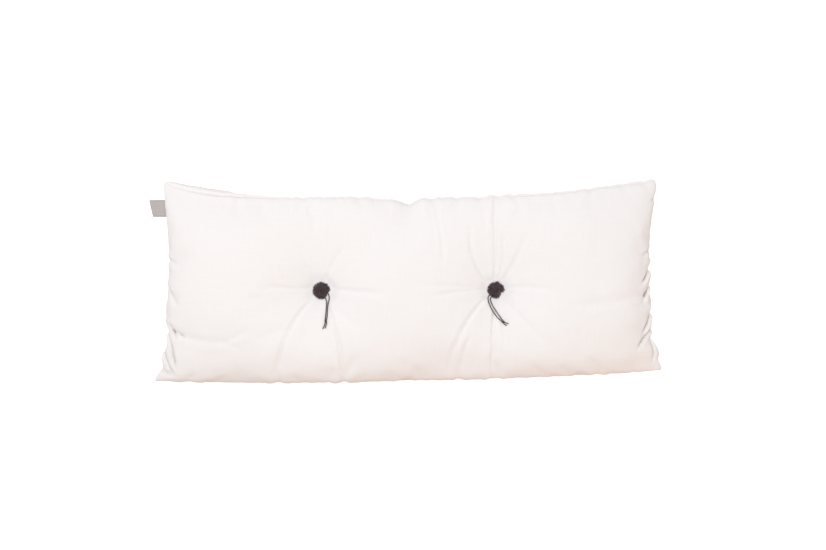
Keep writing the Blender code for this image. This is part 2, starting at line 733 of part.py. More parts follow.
def main():
    for old in list(bpy.data.objects):
        bpy.data.objects.remove(old, do_unlink=True)
    cotton = material("cotton", 0.85, sheen=0.2)
    wool = material("wool", 0.95, sheen=0.4)
    string = material("string", 0.7)
    ribbon = material("ribbon", 0.75)
    parent = bpy.data.objects.new("cushion_frame", None)
    bpy.context.scene.collection.objects.link(parent)

    cushion = make_cushion(cotton, parent)
    bpy.context.view_layer.update()
    tree = surface_tree(cushion)
    for name in TUFTS:
        make_tuft(name, tree, wool, parent)
        make_stitch(name, tree, string, parent)
    for name in STRINGS:
        make_string(name, tree, string, parent)
    for name in KNOTS:
        make_knot(name, tree, string, parent)
    make_label(tree, ribbon, parent)
    bpy.context.view_layer.update()
    centre_on_floor(parent, {*STRINGS, *KNOTS})


main()
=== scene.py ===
import math

import bpy
import numpy as np
from mathutils import Matrix, Vector, noise
from mathutils.bvhtree import BVHTree
from mathutils.kdtree import KDTree


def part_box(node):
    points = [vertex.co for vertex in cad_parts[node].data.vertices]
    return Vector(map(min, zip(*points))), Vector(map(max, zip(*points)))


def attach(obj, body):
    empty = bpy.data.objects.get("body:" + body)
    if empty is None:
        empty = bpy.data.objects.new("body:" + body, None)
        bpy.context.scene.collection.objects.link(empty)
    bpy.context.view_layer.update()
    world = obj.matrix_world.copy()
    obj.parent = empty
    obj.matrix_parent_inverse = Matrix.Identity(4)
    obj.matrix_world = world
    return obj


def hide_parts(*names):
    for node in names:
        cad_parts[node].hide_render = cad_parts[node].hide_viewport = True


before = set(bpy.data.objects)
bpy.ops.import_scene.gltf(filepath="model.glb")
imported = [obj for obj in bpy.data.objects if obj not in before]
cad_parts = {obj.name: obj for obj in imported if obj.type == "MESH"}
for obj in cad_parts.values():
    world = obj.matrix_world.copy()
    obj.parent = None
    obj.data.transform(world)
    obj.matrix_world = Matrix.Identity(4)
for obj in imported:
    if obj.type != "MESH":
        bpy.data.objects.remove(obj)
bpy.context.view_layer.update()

scene = bpy.context.scene


# Camera: nearly square on to the front, a little from the left and from the top edge
cameraSet = {
    "lookAt": (0.0075, 0.0113, 0.05),
    "distance": 2.2144,
    "yaw": 2.0,
    "pitch": 3.0,
    "roll": -0.4,
    "lens": 50.0,
    "sensor": 36.0,
}


def makeCamera():
    yaw = math.radians(cameraSet["yaw"])
    pitch = math.radians(cameraSet["pitch"])
    level = math.cos(pitch)
    back = Vector((-math.sin(yaw) * level, math.sin(pitch), math.cos(yaw) * level))
    right = Vector((0, 1, 0)).cross(back).normalized()
    up = back.cross(right)
    turn = Matrix((right, up, back)).transposed()
    turn = turn @ Matrix.Rotation(math.radians(cameraSet["roll"]), 3, "Z")
    camera = bpy.data.objects.new("camera", bpy.data.cameras.new("camera"))
    camera.data.lens = cameraSet["lens"]
    camera.data.sensor_width = cameraSet["sensor"]
    camera.data.sensor_fit = "HORIZONTAL"
    camera.matrix_world = turn.to_4x4()
    camera.location = Vector(cameraSet["lookAt"]) + back * cameraSet["distance"]
    scene.collection.objects.link(camera)
    scene.camera = camera


makeCamera()
print("camera set")


# Helpers for node trees and meshes
def feed(tree, slot, value):
    # value is a number, a colour, a vector or another node's socket
    if isinstance(value, bpy.types.NodeSocket):
        tree.links.new(value, slot)
    else:
        slot.default_value = value


def addNode(tree, kind, inputs=(), **settings):
    node = tree.nodes.new(kind)
    for name, value in settings.items():
        setattr(node, name, value)
    for name, value in dict(inputs).items():
        feed(tree, node.inputs[name], value)
    return node


def calc(tree, operation, *values):
    node = addNode(tree, "ShaderNodeMath", operation=operation)
    for slot, value in zip(node.inputs, values):
        feed(tree, slot, value)
    return node.outputs[0]


def newGroup(name, kind, inputs, outputs):
    # the sockets go by their titles, each with its type
    group = bpy.data.node_groups.new(name, kind)
    for way, sockets in (("INPUT", inputs), ("OUTPUT", outputs)):
        for title, holds in sockets.items():
            group.interface.new_socket(name=title, in_out=way, socket_type="NodeSocket" + holds)
    given, out = group.nodes.new("NodeGroupInput"), group.nodes.new("NodeGroupOutput")
    return group, given.outputs, out.inputs


def addPiece(name, data, *finishes):
    piece = bpy.data.objects.new(name, data)
    for finish in finishes:
        data.materials.append(finish)
    scene.collection.objects.link(piece)
    return piece


def asMesh(piece):
    # the plain mesh that the piece's modifiers make, on a piece without modifiers
    graph = bpy.context.evaluated_depsgraph_get()
    graph.update()
    ready = piece.evaluated_get(graph)
    mesh = bpy.data.meshes.new_from_object(ready, preserve_all_data_layers=True, depsgraph=graph)
    name = piece.name
    bpy.data.objects.remove(piece, do_unlink=True)
    mesh.name = name
    plain = bpy.data.objects.new(name, mesh)
    scene.collection.objects.link(plain)
    return plain


def runNodes(piece, group, sizes):
    # sizes goes by the group's input names; the modifier wants their identifiers
    modifier = piece.modifiers.new(group.name, "NODES")
    modifier.node_group = group
    for item in group.interface.items_tree:
        if item.item_type == "SOCKET" and item.in_out == "INPUT" and item.name in sizes:
            modifier[item.identifier] = sizes[item.name]
    return asMesh(piece)


def readPoints(mesh):
    flat = np.empty(len(mesh.vertices) * 3)
    mesh.vertices.foreach_get("co", flat)
    return flat.reshape(-1, 3)


def writePoints(mesh, points):
    mesh.vertices.foreach_set("co", np.asarray(points, float).ravel())
    mesh.update()


def writeUvs(mesh, name, perPoint):
    corners = np.empty(len(mesh.loops), dtype=np.int32)
    mesh.loops.foreach_get("vertex_index", corners)
    layer = mesh.uv_layers.new(name=name)
    layer.data.foreach_set("uv", np.asarray(perPoint, float)[corners].ravel())


# Plain weave of threads at right angles, on cloth coordinates in metres
weaving = {
    "slubStretch": (900.0, 14.0),  # across and along a thread
    "driftScale": 70.0,
    "drift": 2.2,  # in threads
}


def makeWeaveGroup():
    group, given, out = newGroup(
        "plainWeave",
        "ShaderNodeTree",
        {"Cloth": "Vector", "Threads": "Float", "Slub": "Float"},
        {"Height": "Float", "Shade": "Float"},
    )
    places = addNode(group, "ShaderNodeSeparateXYZ", {"Vector": given["Cloth"]})
    drift = addNode(
        group,
        "ShaderNodeTexNoise",
        {"Vector": given["Cloth"], "Scale": weaving["driftScale"], "Detail": 2.0},
    )
    wander = addNode(group, "ShaderNodeSeparateXYZ", {"Vector": drift.outputs["Color"]})
    threads, slubs = [], []
    short, far = weaving["slubStretch"]
    for axis, stretch in ((0, (short, far, 1.0)), (1, (far, short, 1.0))):
        count = calc(group, "MULTIPLY", places.outputs[axis], given["Threads"])
        threads.append(calc(group, "MULTIPLY_ADD", wander.outputs[axis], weaving["drift"], count))
        run = addNode(group, "ShaderNodeMapping", {"Vector": given["Cloth"], "Scale": stretch})
        uneven = addNode(
            group,
            "ShaderNodeTexNoise",
            {"Vector": run.outputs[0], "Scale": 1.0, "Detail": 1.0, "Roughness": 0.4},
        )
        slubs.append(calc(group, "SUBTRACT", uneven.outputs["Fac"], 0.5))
    heights = []
    for across, along, slub, start in (
        (threads[0], threads[1], slubs[0], -0.5),
        (threads[1], threads[0], slubs[1], 0.5),
    ):
        body = calc(group, "ABSOLUTE", calc(group, "SINE", calc(group, "MULTIPLY", across, math.pi)))
        turn = calc(group, "ADD", calc(group, "ADD", along, start), calc(group, "FLOOR", across))
        over = calc(group, "COSINE", calc(group, "MULTIPLY", turn, math.pi))
        over = calc(group, "MULTIPLY_ADD", over, 0.5, 0.5)
        thick = calc(group, "MULTIPLY_ADD", calc(group, "MULTIPLY", slub, given["Slub"]), 2.0, 1.0)
        heights.append(calc(group, "MULTIPLY", calc(group, "MULTIPLY", body, over), thick))
    feed(group, out["Height"], calc(group, "MAXIMUM", *heights))
    feed(group, out["Shade"], calc(group, "ADD", calc(group, "ADD", *slubs), 0.5))
    return group


# Loose fibres that run along a yarn or a string: X of the coordinates runs round it and
# Y along it, in metres
spinning = {"roughness": 0.65, "patchScale": 260.0}


def makeFibreGroup():
    group, given, out = newGroup(
        "fibres",
        "ShaderNodeTree",
        {"Yarn": "Vector", "Fineness": "Float", "Lie": "Float"},
        {"Height": "Float", "Shade": "Float"},
    )
    squash = addNode(group, "ShaderNodeCombineXYZ", {"X": 1.0, "Y": given["Lie"], "Z": 1.0})
    lay = addNode(
        group, "ShaderNodeVectorMath", {0: given["Yarn"], 1: squash.outputs[0]}, operation="MULTIPLY"
    )
    fine = addNode(
        group,
        "ShaderNodeTexNoise",
        {
            "Vector": lay.outputs[0],
            "Scale": given["Fineness"],
            "Detail": 3.0,
            "Roughness": spinning["roughness"],
        },
    )
    coarse = addNode(
        group,
        "ShaderNodeTexNoise",
        {"Vector": given["Yarn"], "Scale": spinning["patchScale"], "Detail": 2.0},
    )
    feed(group, out["Height"], fine.outputs["Fac"])
    patches = calc(group, "MULTIPLY", coarse.outputs["Fac"], 0.5)
    feed(group, out["Shade"], calc(group, "MULTIPLY_ADD", fine.outputs["Fac"], 0.5, patches))
    return group


plainWeave = makeWeaveGroup()
fibres = makeFibreGroup()


def newMaterial(name, finish):
    # a finish has a plain colour and the shader's own settings under surface
    material = bpy.data.materials.new(name)
    material.use_nodes = True
    tree = material.node_tree
    shader = tree.nodes["Principled BSDF"]
    shader.inputs["Base Color"].default_value = (*finish["colour"], 1.0)
    for title, value in finish["surface"].items():
        shader.inputs[title].default_value = value
    return material, tree, shader


def weaveOf(tree, finish, place):
    sizes = {"Cloth": place, "Threads": finish["threads"], "Slub": finish["slub"]}
    return addNode(tree, "ShaderNodeGroup", sizes, node_tree=plainWeave).outputs


def fibresOf(tree, finish, place):
    sizes = {"Yarn": place, "Fineness": finish["fineness"], "Lie": finish["lie"]}
    return addNode(tree, "ShaderNodeGroup", sizes, node_tree=fibres).outputs


def rampBetween(tree, value, low, high, most=1.0, way="LINEAR"):
    limits = {"Value": value, "From Min": low, "From Max": high, "To Max": most}
    return addNode(tree, "ShaderNodeMapRange", limits, interpolation_type=way).outputs[0]


def blendColours(tree, share, *colours):
    # each of the two colours is a row of three numbers or another node's socket
    sockets = [c if isinstance(c, bpy.types.NodeSocket) else (*c, 1.0) for c in colours]
    mix = addNode(tree, "ShaderNodeMix", {0: share, 6: sockets[0], 7: sockets[1]}, data_type="RGBA")
    return mix.outputs[2]


def finishWith(tree, shader, finish, colour, height):
    # the height goes from 0 to 1 over the finish's depth, in metres
    tree.links.new(colour, shader.inputs["Base Color"])
    sizes = {"Height": height, "Distance": finish["depth"], "Strength": finish["strength"]}
    bump = addNode(tree, "ShaderNodeBump", sizes)
    tree.links.new(bump.outputs[0], shader.inputs["Normal"])


print("shader groups made")


# Cover: two panels sewn round a knife edge. Metres; the seam's corners and how far
# each edge is drawn in are close to the solid's
cover = {
    "corners": {
        "topLeft": (-0.476, 0.198),
        "topRight": (0.486, 0.196),
        "bottomLeft": (-0.499, -0.192),
        "bottomRight": (0.497, -0.182),
    },
    "drawnIn": {"top": 0.034, "bottom": -0.007, "left": 0.024, "right": 0.029},
    "drawnInPower": {"top": 2.6, "bottom": 2.2, "left": 2.2, "right": 2.2},
    "edgeDips": [
        # edge, place, depth, half width
        ("top", -0.270, 0.007, 0.100),
        ("top", -0.010, 0.010, 0.055),
        ("top", 0.120, 0.003, 0.050),
        ("left", -0.125, 0.012, 0.042),
        ("left", -0.138, -0.005, 0.014),
        ("left", -0.165, 0.010, 0.013),
        ("right", -0.112, 0.008, 0.030),
        ("right", -0.140, -0.004, 0.012),
        ("right", -0.160, 0.006, 0.009),
    ],
    "tipRound": {"topLeft": 0.019, "topRight": 0.021, "bottomLeft": 0.012, "bottomRight": 0.012},
    "tipShare": 0.41,
    "halfLong": 0.49,
    "halfShort": 0.19,
    "seamZ": 0.050,
    "seamTipDrop": 0.010,
    "seamWave": 0.003,
    "seamWaves": (7.0, 3.0),  # how fast it goes along the length and the width
    "seamWaveStart": 1.0,
    "frontCrown": 0.063,
    "backCrown": 0.059,
    "bottomHeavy": 0.08,
    "crownLong": (6.0, 1.75),
    "crownShort": (2.4, 1.75),
    "sideBulge": 0.0045,
    "sideBulgeDepth": 0.014,
    "frontDimple": 0.037,
    "backDimple": 0.031,
    "dimpleReach": (0.070, 0.100),
    "dimplePower": 1.15,
    "seatRadius": 0.0185,
    "seatRise": 0.0035,
    "seatBlend": 0.016,
    "shoulderShare": 0.30,
    "shoulderPlace": 1.9,
    "shoulderWidth": 0.9,
    "columns": 166,
    "rows": 70,
    "fineSteps": 6001,
    "backUv": 0.45,  # the back panel's own place on the cloth coordinates, along V
    "seamCrowd": 1.6,
    "seamCrowdReach": 0.010,
    "tuftCrowd": 0.9,
    "tuftCrowdReach": (0.11, 0.30),
    "seamFade": (36.0, 14.0),  # how fast the relief comes in, from the ends and the long seams
    "held": 0.02,
    "softCrease": 0.20,  # share of a crease that is broad and soft, before the sharp one
    "creaseWidth": 0.50,
    "creaseDepth": 0.34,
    "creaseClear": (0.001, 0.008),  # the sharp ones start this far from the seam, over so much
    "creaseRun": (0.0, 1.15),  # shares of its reach that a crease runs between
    "creaseFade": (6.0, 2.2),
    "creaseTurn": 1.2,
    "creaseSpread": 1.2,
    "creaseWiden": (0.7, 0.5),
    "foldRun": (-0.12, 1.12),
    "foldFade": (4.0, 2.5),
    "gatherPower": 1.4,
    "gatherWiden": 8,
    "hollowShares": (0.5, 0.9),  # how much of the puckers and the seam counts as a hollow
    "lip": 0.0012,
    "lipReach": 0.008,
    "groove": 0.0036,
    "grooveReach": 0.0027,
    "grooveTip": 12,
    "onEdge": 0.99999,
    "sewnWithin": 2e-6,
    "rolledAll": 0.0130,  # the top seam is rolled to the front by this, more or less in places
    "rolledSeam": [
        # place, half width, distance round the edge
        (-0.400, 0.090, 0.0170),
        (0.010, 0.035, -0.0060),
        (0.250, 0.085, 0.0055),
    ],
    "rolledReach": 0.060,
    "rolledTip": 40,
    "seamPuckerReach": 0.008,
    "seamPuckerTip": 8,
    "seamPuckerShift": (3.0, 7.0),  # so that facing sides differ
    "seamPuckers": [
        # wavelength, size, phase
        (0.041, 0.00018, 0.4),
        (0.0231, 0.00018, 1.9),
        (0.0143, 0.00016, 3.1),
    ],
    "tuftPuckerReach": 0.016,
    "tuftPuckerStart": 0.007,
    "tuftPuckerTurn": 2.1,
    "tuftPuckers": [
        # count round the tuft, size, phase
        (7, 0.00050, 0.3),
        (11, 0.00045, 1.2),
        (17, 0.00030, 2.6),
    ],
    "lump": 0.0030,
    "lumpScale": 11.0,
    "slack": 0.0009,
    "slackScale": 38.0,
    "slackShift": (7.0, 3.0, 5.0),
    "floorPin": 0.0005,
}
tuftPlaces = {"left": (-0.1705, -0.0158), "right": (0.1620, -0.0175)}

# Creases that run out from a tuft. Degrees from +X towards +Y; a negative depth is a ridge
tuftCreases = [
    # tuft, first angle, last angle, reach, depth, width
    ("left", 174, 174, 0.105, 0.0040, 0.007),
    ("left", 2, 356, 0.115, 0.0030, 0.010),
    ("left", 122, 114, 0.095, 0.0030, 0.008),
    ("left", 70, 62, 0.095, 0.0028, 0.008),
    ("left", 221, 243, 0.186, 0.0050, 0.009),
    ("left", 294, 283, 0.178, 0.0055, 0.006),
    ("right", 171, 176, 0.150, 0.0030, 0.009),
    ("right", 178, 184, 0.120, 0.0048, 0.007),
    ("right", 138, 112, 0.130, 0.0052, 0.007),
    ("right", 92, 90, 0.186, 0.0052, 0.007),
    ("right", 73, 84, 0.118, 0.0040, 0.006),
    ("right", 52, 62, 0.120, 0.0040, 0.009),
    ("right", 10, 358, 0.115, 0.0028, 0.009),
    ("right", 217, 238, 0.170, 0.0062, 0.009),
    ("right", 263, 268, 0.170, 0.0052, 0.006),
    ("right", 271, 277, 0.120, -0.0020, 0.007),
    ("right", 311, 312, 0.150, 0.0030, 0.010),
]
backCreases = [
    ("left", 96, 88, 0.175, 0.0045, 0.010),
    ("left", 268, 276, 0.170, 0.0045, 0.010),
    ("left", 150, 160, 0.110, 0.0035, 0.010),
    ("left", 28, 20, 0.110, 0.0035, 0.010),
    ("left", 215, 208, 0.105, 0.0030, 0.010),
    ("left", 325, 332, 0.105, 0.0030, 0.010),
    ("right", 88, 94, 0.175, 0.0045, 0.010),
    ("right", 274, 266, 0.170, 0.0045, 0.010),
    ("right", 156, 150, 0.110, 0.0035, 0.010),
    ("right", 24, 32, 0.110, 0.0035, 0.010),
    ("right", 208, 216, 0.105, 0.0030, 0.010),
    ("right", 334, 326, 0.105, 0.0030, 0.010),
]
frontFolds = [
    # from x, from y, to x, to y, bend, depth, width
    (-0.440, -0.096, -0.352, -0.108, -0.006, 0.0034, 0.013),
    (-0.352, -0.108, -0.310, -0.084, -0.004, 0.0028, 0.010),
    (-0.362, -0.110, -0.320, -0.126, 0.002, 0.0028, 0.009),
    (0.470, -0.024, 0.296, -0.046, 0.006, 0.0040, 0.016),
    (0.486, -0.055, 0.430, -0.048, -0.003, 0.0034, 0.010),
    (0.043, 0.160, 0.060, 0.028, 0.005, 0.0040, 0.008),
    (0.030, 0.158, 0.046, 0.060, 0.004, 0.0024, 0.007),
    (0.110, -0.105, 0.094, -0.176, -0.003, 0.0046, 0.008),
    (0.140, 0.150, 0.142, 0.100, 0.000, 0.0028, 0.008),
    # short sharp ones that start at the side seams
    (-0.4720, 0.0480, -0.4430, 0.0368, 0.001, 0.0075, 0.0050),
    (-0.4700, 0.0000, -0.4440, -0.0430, 0.002, 0.0060, 0.0075),
    (-0.4590, -0.0800, -0.4470, -0.1060, 0.001, 0.0140, 0.0050),
    (-0.4580, -0.0880, -0.4280, -0.1035, 0.001, 0.0100, 0.0055),
    (-0.4650, -0.0960, -0.4515, -0.1650, 0.002, 0.0140, 0.0052),
    (-0.4735, -0.1300, -0.4550, -0.1790, -0.002, 0.0130, 0.0050),
    (-0.4830, -0.1630, -0.4600, -0.1800, 0.001, 0.0100, 0.0046),
    (0.4690, 0.0610, 0.4440, 0.0450, 0.001, 0.0080, 0.0060),
    (0.4685, 0.0400, 0.4450, -0.0080, 0.001, 0.0190, 0.0052),
    (0.4680, 0.0080, 0.4505, -0.0330, 0.001, 0.0180, 0.0048),
    (0.4520, -0.0260, 0.4460, -0.0450, 0.000, 0.0080, 0.0060),
    (0.4690, -0.0450, 0.4455, -0.1080, 0.002, 0.0220, 0.0052),
    (0.4730, -0.0920, 0.4350, -0.1360, -0.003, 0.0150, 0.0054),
    (0.4640, -0.1170, 0.4720, -0.1600, 0.003, 0.0150, 0.0048),
    (0.4840, 0.1580, 0.4650, 0.1500, 0.001, 0.0100, 0.0050),
]
seamGathers = [
    # edge, place, lean, reach, depth, width
    ("top", -0.330, 0.4, 0.012, 0.0026, 0.006),
    ("top", -0.202, -0.5, 0.018, 0.0036, 0.006),
    ("top", -0.100, 0.3, 0.012, 0.0020, 0.008),
    ("top", -0.003, 0.1, 0.026, 0.0085, 0.013),
    ("top", 0.040, 0.3, 0.026, 0.0028, 0.007),
    ("top", 0.090, -0.4, 0.018, 0.0038, 0.006),
    ("top", 0.134, 0.0, 0.024, 0.0024, 0.009),
    ("top", 0.170, 0.0, 0.030, 0.0034, 0.007),
    ("top", 0.196, 0.8, 0.014, 0.0026, 0.006),
    ("top", 0.350, -0.6, 0.014, 0.0036, 0.006),
    ("top", 0.410, 0.4, 0.012, 0.0024, 0.006),
    ("top", 0.452, 0.8, 0.012, 0.0026, 0.005),
    ("left", 0.044, -0.5, 0.010, 0.0036, 0.005),
    ("left", -0.020, -0.8, 0.020, 0.0020, 0.010),
    ("left", -0.088, -0.2, 0.024, 0.0066, 0.007),
    ("right", 0.158, -0.3, 0.010, 0.0034, 0.005),
    ("right", 0.024, -0.6, 0.014, 0.0026, 0.007),
    ("right", -0.006, -0.6, 0.012, 0.0016, 0.006),
    ("right", -0.062, -0.6, 0.016, 0.0044, 0.006),
    ("right", -0.114, -0.6, 0.018, 0.0050, 0.006),
    ("bottom", -0.430, 0.3, 0.014, 0.0020, 0.010),
    ("bottom", -0.255, 0.1, 0.024, 0.0026, 0.009),
    ("bottom", -0.160, 0.3, 0.012, 0.0024, 0.005),
    ("bottom", -0.131, 0.2, 0.022, 0.0038, 0.006),
    ("bottom", 0.018, 0.0, 0.012, 0.0024, 0.006),
    ("bottom", 0.093, -0.2, 0.022, 0.0036, 0.007),
    ("bottom", 0.152, 0.4, 0.016, 0.0040, 0.005),
    ("bottom", 0.166, 0.1, 0.024, 0.0034, 0.006),
    ("bottom", 0.362, 0.0, 0.012, 0.0032, 0.007),
    ("bottom", 0.436, -0.3, 0.012, 0.0024, 0.006),
]


def smoothStep(value):
    share = np.clip(value, 0.0, 1.0)
    return share * share * (3.0 - 2.0 * share)


def creaseProfile(sideways, width):
    across = np.abs(sideways) / width
    shoulder = np.exp(-(((across - cover["shoulderPlace"]) / cover["shoulderWidth"]) ** 2))
    return np.exp(-(across**2)) - cover["shoulderShare"] * shoulder


def seamEdge(edge, place):
    ends = {
        "top": ("topLeft", "topRight"),
        "bottom": ("bottomLeft", "bottomRight"),
        "left": ("bottomLeft", "topLeft"),
        "right": ("bottomRight", "topRight"),
    }[edge]
    inward = {"top": (0, -1), "bottom": (0, 1), "left": (1, 0), "right": (-1, 0)}[edge]
    first, last = (np.array(cover["corners"][name]) for name in ends)
    share = ((place + 1.0) / 2.0)[..., None]
    straight = first * (1.0 - share) + last * share
    bow = cover["drawnIn"][edge] * (1.0 - np.abs(place) ** cover["drawnInPower"][edge])
    along = straight[..., 1 if edge in ("left", "right") else 0]
    for dipped, middle, depth, half in cover["edgeDips"]:
        if dipped == edge:
            bow = bow + depth * np.exp(-(((along - middle) / half) ** 2)) * (1.0 - place**8)
    return straight + bow[..., None] * np.array(inward)


def coverPlan(u, v):
    across, up = ((u + 1.0) / 2.0)[..., None], ((v + 1.0) / 2.0)[..., None]
    corner = {name: np.array(point) for name, point in cover["corners"].items()}
    edges = (1 - up) * seamEdge("bottom", u) + up * seamEdge("top", u)
    sides = (1 - across) * seamEdge("left", v) + across * seamEdge("right", v)
    bottom = (1 - across) * corner["bottomLeft"] + across * corner["bottomRight"]
    top = (1 - across) * corner["topLeft"] + across * corner["topRight"]
    plan = edges + sides - (1 - up) * bottom - up * top
    for name, tip in corner.items():
        size = cover["tipRound"][name]
        away = np.linalg.norm(plan - tip, axis=-1)
        pull = cover["tipShare"] * size * np.clip(1 - away / size, 0, 1) ** 2
        plan = plan - pull[..., None] * tip / np.linalg.norm(tip)
    return plan


def crown(place, powers):
    return np.clip(1.0 - np.abs(place) ** powers[0], 0.0, 1.0) ** (1.0 / powers[1])


def seamHeight(u, v):
    long, short = cover["seamWaves"]
    wave = np.sin(long * u + cover["seamWaveStart"]) * np.cos(short * v) * cover["seamWave"]
    return cover["seamZ"] + wave - cover["seamTipDrop"] * (u * v) ** 4


def panelPoints(u, v, front):
    plan = coverPlan(u, v)
    rise = crown(u, cover["crownLong"]) * crown(v, cover["crownShort"])
    full = cover["frontCrown"] if front else cover["backCrown"]
    height = full * rise * (1.0 - cover["bottomHeavy"] * v)
    for axis, place, other, half in ((0, u, v, cover["halfLong"]), (1, v, u, cover["halfShort"])):
        near = (1.0 - np.abs(place)) * half / cover["sideBulgeDepth"]
        bulge = cover["sideBulge"] * near * np.exp(1.0 - near) * (1.0 - other**6)
        plan[..., axis] += bulge * np.sign(place)
    dimple = cover["frontDimple"] if front else cover["backDimple"]
    for x, y in tuftPlaces.values():
        dx, dy = plan[..., 0] - x, plan[..., 1] - y
        away = np.hypot(dx / cover["dimpleReach"][0], dy / cover["dimpleReach"][1])
        height = height - dimple * np.exp(-(away ** cover["dimplePower"])) * np.sqrt(rise)
    for x, y in tuftPlaces.values():
        away = np.hypot(plan[..., 0] - x, plan[..., 1] - y)
        seat = full - dimple + cover["seatRise"]
        blend = smoothStep((away - cover["seatRadius"]) / cover["seatBlend"])
        height = seat * (1.0 - blend) + height * blend
    z = seamHeight(u, v) + (height if front else -height)
    return np.concatenate([plan, z[..., None]], axis=-1)


def rolledPanel(u, v, front):
    # the cloth slides round the top edge, so that the seam there comes to lie on the front
    roll = cover["rolledAll"] * np.ones_like(u)
    for place, half, far in cover["rolledSeam"]:
        roll += far * np.exp(-(((u * cover["halfLong"] - place) / half) ** 2))
    roll *= 1.0 - np.abs(u) ** cover["rolledTip"]
    fine = 1.0 - np.cos(np.linspace(0.0, math.pi, cover["fineSteps"]))
    rise = cover["frontCrown"] * crown(1.0 - fine, cover["crownShort"])
    step = np.hypot(np.diff(fine) * cover["halfShort"], np.diff(rise))
    round_ = np.concatenate([[0.0], np.cumsum(step)])
    away = np.interp(1.0 - v, fine, round_) * (1.0 if front else -1.0)
    away = away + roll * np.exp(-((away / cover["rolledReach"]) ** 2))
    v = 1.0 - np.interp(np.abs(away), round_, fine)
    return np.where((away >= 0.0)[..., None], panelPoints(u, v, True), panelPoints(u, v, False))


def runFade(along, run, steepness):
    comesIn = smoothStep((along - run[0]) * steepness[0])
    return comesIn * smoothStep((run[1] - along) * steepness[1])


def tuftCreaseRelief(x, y, rows, thin=1.0):
    relief = np.zeros_like(x)
    start, spread = cover["seatRadius"], cover["creaseSpread"]
    narrow, widen = cover["creaseWiden"]
    for tuft, first, last, reach, depth, width in rows:
        dx, dy = x - tuftPlaces[tuft][0], y - tuftPlaces[tuft][1]
        away, angle = np.hypot(dx, dy), np.degrees(np.arctan2(dy, dx))
        along = (away - start) / (reach - start)
        turn = (last - first + 180.0) % 360.0 - 180.0
        off = angle - first - turn * np.clip(along, 0.0, cover["creaseTurn"])
        off = np.radians((off + 180.0) % 360.0 - 180.0)
        fade = runFade(along, cover["creaseRun"], cover["creaseFade"])
        sideways = away * np.clip(off, -spread, spread)
        relief += depth * fade * creaseProfile(sideways, thin * width * (narrow + widen * along))
    return relief


def foldRelief(x, y, thin=1.0):
    relief = np.zeros_like(x)
    for x0, y0, x1, y1, bend, depth, width in frontFolds:
        length = math.hypot(x1 - x0, y1 - y0)
        ax, ay = (x1 - x0) / length, (y1 - y0) / length
        along = ((x - x0) * ax + (y - y0) * ay) / length
        sideways = (y - y0) * ax - (x - x0) * ay - 4.0 * bend * along * (1.0 - along)
        fade = runFade(along, cover["foldRun"], cover["foldFade"])
        relief += depth * fade * creaseProfile(sideways, thin * width)
    return relief


def gatherRelief(u, v, x, y):
    relief = np.zeros_like(x)
    for edge, place, lean, reach, depth, width in seamGathers:
        upright = edge in ("left", "right")
        inwards = {
            "top": (1.0 - v) * cover["halfShort"],
            "bottom": (1.0 + v) * cover["halfShort"],
            "left": (1.0 + u) * cover["halfLong"],
            "right": (1.0 - u) * cover["halfLong"],
        }[edge]
        sideways = (y if upright else x) - place - lean * inwards
        fade = np.exp(-((inwards / reach) ** cover["gatherPower"]))
        wide = width * (1 + cover["gatherWiden"] * inwards)
        relief += depth * fade * creaseProfile(sideways, wide)
    return relief


def tuftPuckers(x, y):
    # short radiating puckers where the cloth is drawn under a tuft
    relief = np.zeros_like(x)
    for n, place in enumerate(tuftPlaces.values()):
        away, angle = np.hypot(x - place[0], y - place[1]), np.arctan2(y - place[1], x - place[0])
        past = away - cover["seatRadius"]
        fade = np.exp(-np.clip(past, 0.0, 1.0) / cover["tuftPuckerReach"])
        fade *= smoothStep(past / cover["tuftPuckerStart"])
        for count, size, phase in cover["tuftPuckers"]:
            turned = phase + cover["tuftPuckerTurn"] * n
            relief += size * fade * np.sin(count * angle + turned)
    return relief


def seamPuckers(u, v, x, y, fromSeam):
    # small uneven puckers that the sewing draws in, all round
    onSide = (1.0 - np.abs(u)) * cover["halfLong"] < (1.0 - np.abs(v)) * cover["halfShort"]
    shift = cover["seamPuckerShift"]
    along = np.where(onSide, y + shift[0] * np.sign(u), x + shift[1] * np.sign(v))
    away = fromSeam / cover["seamPuckerReach"]
    fade = away * np.exp(1.0 - away) * (1.0 - np.abs(u * v) ** cover["seamPuckerTip"])
    relief = np.zeros_like(x)
    for wavelength, size, phase in cover["seamPuckers"]:
        relief += size * fade * np.sin(2 * math.pi * along / wavelength + phase)
    return relief


def gridPlaces(count, half, powers, middles, spread):
    # even steps over the cloth, closer together by the seam and round the tufts
    fine = np.sin(np.linspace(-math.pi / 2, math.pi / 2, cover["fineSteps"]))
    middle = (fine[1:] + fine[:-1]) / 2
    step = np.hypot(np.diff(fine) * half, np.diff(cover["frontCrown"] * crown(fine, powers)))
    nearEdge = np.exp(-(1.0 - np.abs(middle)) * half / cover["seamCrowdReach"])
    step = step * (1.0 + cover["seamCrowd"] * nearEdge)
    for place in middles:
        step = step * (1.0 + cover["tuftCrowd"] * np.exp(-(((middle - place) / spread) ** 2)))
    share = np.concatenate([[0.0], np.cumsum(step)])
    return np.interp(np.linspace(0.0, share[-1], count + 1), share, fine)


def unevenFill(points):
    # lumps in the loose filling, and short slack waves of the cloth over it
    shift = Vector(cover["slackShift"])
    return np.array(
        [
            cover["lump"] * noise.noise(Vector(p) * cover["lumpScale"])
            + cover["slack"] * noise.noise(Vector(p) * cover["slackScale"] + shift)
            for p in points
        ]
    )


